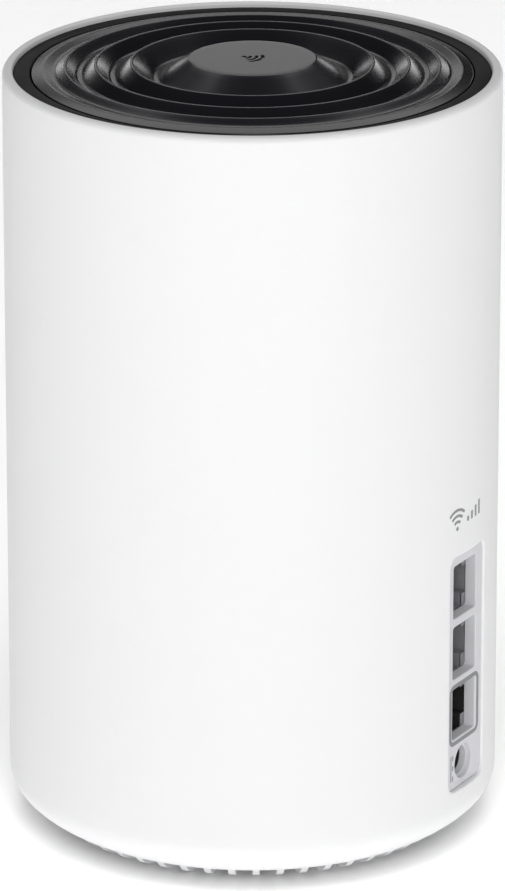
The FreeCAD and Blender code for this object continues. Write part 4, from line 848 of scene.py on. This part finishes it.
    def tube_sense(self, tube: Surface) -> float:
        """Positive if the outermost quads of the tube face away from the axis.

        Args:
            tube: The surface to test.

        Returns:
            A number whose sign is the answer.
        """
        quad = tube.quads[np.argmax(np.hypot(*tube.points[tube.quads].mean(axis=1)[:, :2].T))]
        corners = tube.points[quad]
        normal = np.cross(corners[1] - corners[0], corners[2] - corners[1])
        return float(normal[:2] @ corners[0][:2])

    def build(self) -> None:
        """Makes the shell."""
        add_piece("shell_tube", self.surface(), SHELL_WHITE, replaces=["outer_shell"])


@dataclass
class Lid:
    """The glossy trim ring and the rippled cover inside it."""

    edge_round: float = 0.25 * MM
    trim_width: float = 3.5 * MM
    skirt_wall: float = 1.1 * MM
    shelf: float = 2.0 * MM
    under_step: float = 2.15 * MM
    skirt_depth: float = 3.8 * MM
    cover_skirt_wall: float = 1.5 * MM
    wall: float = 1.8 * MM
    boss_radius: float = 13.4 * MM
    boss_round: float = 0.9 * MM
    crest_round: float = 0.6 * MM
    valley_round: float = 1.5 * MM
    icon_depth: float = 0.3 * MM
    icon_band: float = 0.55 * MM
    icon_pitch: float = 1.3 * MM
    icon_lean: float = 45.0
    icon_dot_share: float = 0.9
    icon_slope: float = 0.16 * MM
    icon_reach: float = 6.0 * MM
    icon_rings: int = 61
    columns: int = 288
    arc_step: float = 7.0
    longest_step: float = 1.6 * MM
    level: float = 0.001 * MM
    # (radius, drop below the boss) of the valleys and crests in turn, then of the outer land
    ripples: tuple[tuple[float, float], ...] = (
        (20.4, 4.5), (25.4, 0.6), (29.4, 4.2), (32.9, 0.95), (36.3, 3.8), (39.3, 1.4), (41.7, 2.9),
        (44.0, 2.25))

    def ring(self) -> Surface:
        """The trim ring with its skirt and shelf, turned.

        Returns:
            The closed ring.
        """
        low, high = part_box("top_trim_ring")
        inner = high.x - self.trim_width
        shelf = high.z - self.skirt_depth - 0.15 * MM
        small = self.edge_round
        return turned(rounded([
            (inner - self.shelf, low.z, small), (inner + self.skirt_wall, low.z, small),
            (inner + self.skirt_wall, high.z - self.under_step, 0), (high.x, high.z - self.under_step, small),
            (high.x, high.z, small), (inner, high.z, small), (inner, shelf, 0),
            (inner - self.shelf, shelf, small)], step=15.0))

    def section(self) -> np.ndarray:
        """Half section of the cover, from the pole on top round to the pole underneath.

        Returns:
            Array of (radius, height) points.
        """
        low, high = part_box("top_cover")
        top, edge = high.z, high.x
        trim_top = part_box("top_trim_ring")[1].z
        rounds = [self.valley_round, self.crest_round] * 4
        ripple = [(radius * MM, top - drop * MM, rounding)
                  for (radius, drop), rounding in zip(self.ripples, rounds)]
        ripple[-1] = (*ripple[-1][:2], self.valley_round)
        skirt_low = trim_top - self.skirt_depth
        inner = edge - self.cover_skirt_wall
        under = [(radius, height - self.wall, rounding) for radius, height, rounding in ripple[:-1]]
        corners = [(0, top, 0), (self.boss_radius, top, self.boss_round), *ripple,
                   (edge, trim_top, self.edge_round), (edge, skirt_low, self.edge_round),
                   (inner, skirt_low, self.edge_round), (inner, trim_top - self.wall, self.edge_round),
                   *reversed(under), (self.boss_radius - self.boss_round, top - self.wall, self.boss_round),
                   (0, top - self.wall, 0)]
        return resampled(rounded(corners, step=self.arc_step, closed=False), self.longest_step)

    def icon_drop(self, x: np.ndarray, y: np.ndarray) -> np.ndarray:
        """How far the icon lowers the boss at each place: a dot and three arcs about a foot point.

        The drop is icon_depth where the distance to the nearest stroke's middle line is under half its band,
        and falls to nothing over a short smooth step.

        Args:
            x: Places along X.
            y: Places along Y.

        Returns:
            The drop at each place.
        """
        foot = -1.5 * self.icon_pitch
        away, angle = np.hypot(x, y - foot), np.arctan2(x, y - foot)
        gaps = [away - self.icon_band * self.icon_dot_share]
        lean = math.radians(self.icon_lean)
        for count in (1, 2, 3):
            radius = self.icon_pitch * count
            along = np.abs(away - radius) - self.icon_band / 2
            beyond = (np.abs(angle) - lean) * away
            gaps.append(np.maximum(along, beyond))
        nearest = np.min(gaps, axis=0)
        share = np.clip(0.5 - nearest / self.icon_slope, 0.0, 1.0)
        return self.icon_depth * share * share * (3 - 2 * share)

    def cover(self) -> Surface:
        """The rippled cover, turned, with the icon sunk in its boss, where the rings stand closer.

        Returns:
            The closed cover.
        """
        profile = self.section()
        top = profile[0, 1]
        near = np.linspace(0.0, self.icon_reach, self.icon_rings)
        fine = np.stack([near, np.full_like(near, top)], axis=-1)
        beyond = (profile[:, 0] > self.icon_reach) | (profile[:, 1] < top - self.level)
        cover = turned(np.vstack([fine, profile[beyond]]), self.columns)
        x, y, z = cover.points.T
        on_top = np.abs(z - top) < self.level
        cover.points[:, 2] = z - np.where(on_top, self.icon_drop(x, y), 0.0)
        return cover

    def build(self) -> None:
        """Makes the ring and the cover."""
        add_piece("lid_ring", self.ring(), SATIN_BLACK, replaces=["top_trim_ring"])
        add_piece("lid_cover", self.cover(), GLOSS_BLACK, replaces=["top_cover"])


# ---------------------------------------------------------------------------------------------
# Printed marks
# ---------------------------------------------------------------------------------------------
class Ground(Enum):
    """The surface that a mark is printed on."""

    SHELL = "shell"
    PANEL = "panel"
    LABEL = "label"


@dataclass
class Marks:
    """Plain printed signs: waves on the shell, an outline round the lowest port, and a supply sign.

    Places are (right, up) as seen by someone who faces the print.
    """

    film: float = 0.03 * MM
    sunk: float = 0.05 * MM
    glyph_middle: float = 77.1 * MM
    waves_right: float = -5.5 * MM
    waves_radius: float = 4.3 * MM
    waves_band: float = 0.62 * MM
    waves_lean: float = 42.0
    bars_right: float = -1.2 * MM
    bars_pitch: float = 1.75 * MM
    bars_width: float = 0.8 * MM
    bars_height: float = 3.2 * MM
    outline_middle: tuple[float, float] = (-0.15 * MM, 32.45 * MM)
    outline_size: tuple[float, float] = (13.3 * MM, 13.9 * MM)
    outline_round: float = 1.9 * MM
    outline_band: float = 0.95 * MM
    supply_right: float = -5.9 * MM
    supply_span: tuple[float, float] = (17.6 * MM, 23.4 * MM)
    supply_band: float = 0.36 * MM

    def on(self, ground: Ground, right: np.ndarray, up: np.ndarray, raised: float) -> np.ndarray:
        """Points on a ground, raised from it.

        On the shell, right is an arc length counted from the middle of the back: the angle is
        90 degrees + right / radius. On the panel, x = -right. On the label, which faces down, x = right.

        Args:
            ground: The surface printed on.
            right: Places to the right.
            up: Places up.
            raised: Height above the surface.

        Returns:
            The points, as an array with one more axis than right.
        """
        if ground is Ground.SHELL:
            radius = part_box("outer_shell")[1].x
            angle = math.pi / 2 + right / radius
            reach = radius + raised
            return np.stack([reach * np.cos(angle), reach * np.sin(angle), up], axis=-1)
        if ground is Ground.PANEL:
            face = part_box("port_bezel")[1].y
            return np.stack([-right, np.full_like(right, face + raised), up], axis=-1)
        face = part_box("rating_label")[0].z
        return np.stack([right, up, np.full_like(right, face - raised)], axis=-1)

    def printed(self, ground: Ground, right: np.ndarray, up: np.ndarray, ring: bool = False) -> Surface:
        """A thin sheet over a grid of (right, up) places."""
        front = self.on(ground, right, up, self.film)
        return Surface.slab(front, self.on(ground, right, up, -self.sunk), ring)

    def bar(self, ground: Ground, right: float, low: float, width: float, height: float) -> Surface:
        """An upright bar, from the middle of its lower edge."""
        across, along = np.meshgrid(np.linspace(-width / 2, width / 2, 3), np.linspace(0.0, height, 3))
        return self.printed(ground, right + across, low + along)

    def wave(self, ground: Ground, right: float, foot: float, radius: float, band: float,
             lean: float) -> Surface:
        """A band of a ring about a foot point, leaning to both sides of upright: (r sin a, r cos a).

        Args:
            ground: The surface printed on.
            right: The foot point's place to the right.
            foot: The foot point's height.
            radius: Radius of the band's middle line.
            band: The band's width.
            lean: Half its turn, in degrees.

        Returns:
            The printed band.
        """
        angle, reach = np.meshgrid(np.radians(np.linspace(-lean, lean, 19)),
                                   np.linspace(radius - band / 2, radius + band / 2, 3), indexing="ij")
        return self.printed(ground, right + reach * np.sin(angle), foot + reach * np.cos(angle))

    def dot(self, ground: Ground, right: float, up: float, radius: float) -> Surface:
        """A round dot, as a polar grid.

        Args:
            ground: The surface printed on.
            right: Its middle's place to the right.
            up: Its middle's height.
            radius: Its radius.

        Returns:
            The printed dot.
        """
        angle, reach = np.meshgrid(np.linspace(0.0, 2 * np.pi, 24, endpoint=False), np.array([0.0, radius]),
                                   indexing="ij")
        return self.printed(ground, right + reach * np.sin(angle), up + reach * np.cos(angle), ring=True)

    def waves(self, ground: Ground, right: float, middle: float, radius: float, band: float) -> Surface:
        """A dot under three waves.

        Args:
            ground: The surface printed on.
            right: The sign's place to the right.
            middle: Height of the sign's middle.
            radius: Length that the three radii are shares of.
            band: Width of each wave.

        Returns:
            The printed sign.
        """
        foot = middle - radius / 2
        rings = [self.wave(ground, right, foot, radius * share, band, self.waves_lean)
                 for share in (0.36, 0.66, 0.96)]
        return self.dot(ground, right, foot, band * 0.75).joined(*rings)

    def shell_print(self) -> Surface:
        """The waves and four rising bars above the port panel.

        Returns:
            The printed surface.
        """
        bars = [self.bar(Ground.SHELL, self.bars_right + self.bars_pitch * number,
                         self.glyph_middle - self.bars_height / 2, self.bars_width,
                         self.bars_height * (number + 1.5) / 4.5) for number in range(4)]
        waves = self.waves(Ground.SHELL, self.waves_right, self.glyph_middle, self.waves_radius,
                           self.waves_band)
        return waves.joined(*bars)

    def port_outline(self) -> Surface:
        """The rounded outline round the lowest port: an outer and an inner loop joined by one band.

        Returns:
            The printed surface.
        """
        loops = []
        for inset in (0.0, self.outline_band / 2, self.outline_band):
            half = [length / 2 - inset for length in self.outline_size]
            radius = self.outline_round - inset
            loops.append(rounded([(half[0], -half[1], radius), (half[0], half[1], radius),
                                  (-half[0], half[1], radius), (-half[0], -half[1], radius)], step=7.5))
        loops = np.stack(loops, axis=1)
        middle = self.outline_middle
        return self.printed(Ground.PANEL, middle[0] + loops[..., 0], middle[1] + loops[..., 1], ring=True)

    def supply_sign(self) -> Surface:
        """A long line beside three dashes, on end.

        Returns:
            The printed surface.
        """
        low, high = self.supply_span
        dash = (high - low) / 5
        line = self.bar(Ground.PANEL, self.supply_right, low, self.supply_band, high - low)
        dashes = [self.bar(Ground.PANEL, self.supply_right + self.supply_band * 2.2, low + dash * 2 * number,
                           self.supply_band, dash) for number in range(3)]
        return line.joined(*dashes)

    def label_print(self) -> Surface:
        """Waves, lines and a row of upright bars on the label underneath.

        Returns:
            The printed surface.
        """
        low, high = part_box("rating_label")
        width, height = high.x - low.x, high.y - low.y
        left, foot = low.x + width * 0.08, low.y + height * 0.12
        thin = width * 0.012
        steps = np.cumsum([1, 2, 1, 3, 1, 1, 2, 2, 1, 3, 2, 1, 1, 2, 3, 1, 2])
        bars = [self.bar(Ground.LABEL, left + thin * float(step), foot, thin * (0.5 + number % 3 * 0.35),
                         height * 0.28) for number, step in enumerate(steps)]
        lines = [self.bar(Ground.LABEL, left + width * (0.24 - 0.03 * number),
                          foot + height * (0.42 + 0.12 * number),
                          width * (0.48 - 0.06 * number), height * 0.035) for number in range(4)]
        waves = self.waves(Ground.LABEL, high.x - width * 0.16, low.y + height * 0.66, height * 0.26,
                           height * 0.04)
        return waves.joined(*bars, *lines)

    def build(self) -> None:
        """Makes the four prints."""
        add_piece("shell_print", self.shell_print(), PRINT_GREY)
        add_piece("port_outline", self.port_outline(), OUTLINE_GREY)
        add_piece("supply_sign", self.supply_sign(), OUTLINE_GREY)
        add_piece("label_print", self.label_print(), PRINT_GREY)


# ---------------------------------------------------------------------------------------------
# Carried nodes
# ---------------------------------------------------------------------------------------------
@dataclass
class Carried:
    """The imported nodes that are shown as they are, each with its finish."""

    finishes: dict[str, Finish] = field(default_factory=lambda: {
        "port_bezel": BEZEL_GREY, "base_cover": BASE_WHITE, "rubber_feet": FOOT_RUBBER,
        "rating_label": LABEL_FILM, "base_screws": SCREW_STEEL, "cover_screws": SCREW_STEEL,
        "heat_sink_screws": SCREW_STEEL, "service_screws": SCREW_STEEL, "service_board": BOARD_GREEN,
        "reset_button": BUTTON_WHITE, "reset_switch": CHIP_BLACK, "status_lamp": LAMP_WHITE,
        "light_guide": GUIDE_CLEAR, "ribbon_cable": RIBBON_WHITE, "ribbon_connectors": BUTTON_WHITE,
        "power_jack_body": JACK_BLACK, "power_jack_pin": JACK_STEEL, "power_jack_spring": JACK_STEEL,
        "main_board": BOARD_GREEN, "shield_cans": CAN_STEEL, "processor_chip": CHIP_BLACK,
        "memory_chips": CHIP_BLACK, "radio_chips": CHIP_BLACK,
        "chip_pads": PAD_GREY, "thermal_pads": PAD_GREY,
        "network_transformers": CHIP_BLACK, "power_inductors": CHIP_BLACK, "capacitors": CAN_STEEL,
        "coax_connectors": GOLD_PLATE, "heat_sink": SINK_METAL, "rear_heat_sink": SINK_METAL,
        "inner_frame": FRAME_PLASTIC, "wan_jack_housing": JACK_BLACK, "lan_jack_1_housing": JACK_GREY,
        "lan_jack_2_housing": JACK_GREY})

    def dress(self) -> None:
        """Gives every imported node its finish."""
        for jack in ("lan_jack_1", "lan_jack_2", "wan_jack"):
            self.finishes[f"{jack}_shield"] = JACK_STEEL
            self.finishes[f"{jack}_contacts"] = GOLD_PLATE
        for number in range(1, 5):
            self.finishes[f"antenna_{number}"] = GOLD_PLATE
            self.finishes[f"antenna_cable_{number}"] = CABLE_BLACK
        for name, finish in self.finishes.items():
            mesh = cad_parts[name].data
            mesh.materials.clear()
            mesh.materials.append(finish.material())
            log.info("%s wears %s", name, finish.name)


# ---------------------------------------------------------------------------------------------
# Studio
# ---------------------------------------------------------------------------------------------
@dataclass(frozen=True)
class FloorPaper(Finish):
    """Pale paper with a faint fibre."""

    def shade(self, graph: Graph, shader: bpy.types.Node) -> None:
        """A slow noise tints the paper very slightly.

        Args:
            graph: The material's nodes.
            shader: Its Principled BSDF.
        """
        noise = graph.add("ShaderNodeTexNoise", {}, Vector=graph.place(), Scale=40.0, Detail=4.0)
        colour = graph.mix(noise.outputs["Fac"], rgba(self.colour, 0.995), rgba(self.colour, 1.005))
        graph.tree.links.new(colour, shader.inputs["Base Color"])
        shader.inputs["Specular IOR Level"].default_value = 0.2


class Task(Enum):
    """What a softbox does: it lights surfaces, it is seen in gloss, or both."""

    LIGHT = (True, False)
    MIRROR = (False, True)
    BOTH = (True, True)


@dataclass(frozen=True)
class Softbox:
    """A rectangular soft light that faces a point, as bright all over as a surface of that radiance."""

    name: str
    azimuth: float
    elevation: float
    distance: float
    width: float
    height: float
    radiance: float
    task: Task = Task.BOTH
    floor_only: bool = False
    shadow: bool = True

    def build(self, target: Vector, floor: bpy.types.Collection) -> None:
        """Adds the light, placed round the target like a camera at that azimuth and elevation.

        Args:
            target: The point that it faces.
            floor: What a floor-only light falls on.
        """
        data = bpy.data.lights.new(self.name, "AREA")
        data.shape, data.size, data.size_y = "RECTANGLE", self.width, self.height
        data.energy = math.pi * self.width * self.height * self.radiance
        data.use_shadow = self.shadow
        lamp = bpy.data.objects.new(self.name, data)
        lamp.visible_diffuse, lamp.visible_glossy = self.task.value
        bpy.context.scene.collection.objects.link(lamp)
        back = direction(self.azimuth, self.elevation)
        lamp.location = target + back * self.distance
        lamp.rotation_euler = back.to_track_quat("Z", "Y").to_euler()
        if self.floor_only:
            lamp.light_linking.receiver_collection = floor


def direction(azimuth: float, elevation: float) -> Vector:
    """Unit vector from the object towards a viewer at that azimuth and elevation, in degrees."""
    a, e = math.radians(azimuth), math.radians(elevation)
    return Vector((math.sin(a) * math.cos(e), -math.cos(a) * math.cos(e), math.sin(e)))


@dataclass
class Studio:
    """Floor, lights, world and camera."""

    azimuth: float = 119.0
    elevation: float = 19.15
    distance: float = 1.4646
    target_height: float = 83.02 * MM
    lens: float = 277.05
    floor_size: float = 12.0
    world_light: float = 0.40
    softboxes: tuple[Softbox, ...] = (
        Softbox("key_light", 121.0, 25.0, 1.8, 0.6, 1.2, 4.2),
        Softbox("floor_light", 119.0, 68.0, 4.0, 2.4, 2.2, 5.2, Task.LIGHT, floor_only=True),
        Softbox("floor_fill", 299.0, 62.0, 4.0, 2.0, 2.0, 1.3, Task.LIGHT, floor_only=True, shadow=False),
        Softbox("left_panel", 322.0, 7.0, 1.6, 0.5, 0.3, 2.2, Task.MIRROR),
        Softbox("right_panel", 276.0, 7.0, 1.6, 0.5, 0.3, 2.2, Task.MIRROR),
        Softbox("boss_panel", 303.0, 17.0, 1.6, 0.55, 0.22, 1.25, Task.MIRROR),
        Softbox("high_panel", 299.0, 52.0, 1.6, 1.5, 1.1, 1.4, Task.MIRROR))

    def floor(self) -> bpy.types.Collection:
        """A square of paper that the feet rest on, and the collection that holds it.

        Returns:
            The collection.
        """
        half = self.floor_size / 2
        line = np.linspace(-half, half, 9)
        x, y = np.meshgrid(line, line)
        surface = Surface.grid(np.stack([x, y, np.zeros_like(x)], axis=-1))
        mesh = surface.mesh("floor")
        mesh.materials.append(FloorPaper("floor_paper", (0.96, 0.96, 0.96), 0.7).material())
        floor = bpy.data.objects.new("floor", mesh)
        bpy.context.scene.collection.objects.link(floor)
        lit = bpy.data.collections.new("floor_lit")
        lit.objects.link(floor)
        return lit

    def world(self) -> None:
        """An even white surround that mirror reflections don't show: they show the softboxes and panels."""
        world = bpy.data.worlds.new("surround")
        bpy.context.scene.world = world
        world.use_nodes = True
        world.node_tree.nodes["Background"].inputs["Color"].default_value = (1.0, 1.0, 1.0, 1.0)
        world.node_tree.nodes["Background"].inputs["Strength"].default_value = self.world_light
        world.cycles_visibility.glossy = False

    def camera(self) -> None:
        """A long lens at the product's viewing angle."""
        data = bpy.data.cameras.new("camera")
        data.lens = self.lens
        data.dof.use_dof = False
        camera = bpy.data.objects.new("camera", data)
        bpy.context.scene.collection.objects.link(camera)
        back = direction(self.azimuth, self.elevation)
        camera.location = Vector((0.0, 0.0, self.target_height)) + back * self.distance
        camera.rotation_euler = back.to_track_quat("Z", "Y").to_euler()
        bpy.context.scene.camera = camera

    def build(self) -> None:
        """Sets the whole studio up."""
        self.camera()
        self.world()
        floor = self.floor()
        target = Vector((0.0, 0.0, self.target_height))
        for softbox in self.softboxes:
            softbox.build(target, floor)
        bpy.context.scene.view_settings.view_transform = "Standard"


def main() -> None:
    """Builds the studio and every piece in turn."""
    logging.basicConfig(level=logging.INFO, format="%(message)s")
    Studio().build()
    Carried().dress()
    Shell().build()
    Lid().build()
    Marks().build()


if __name__ == "__main__":
    main()
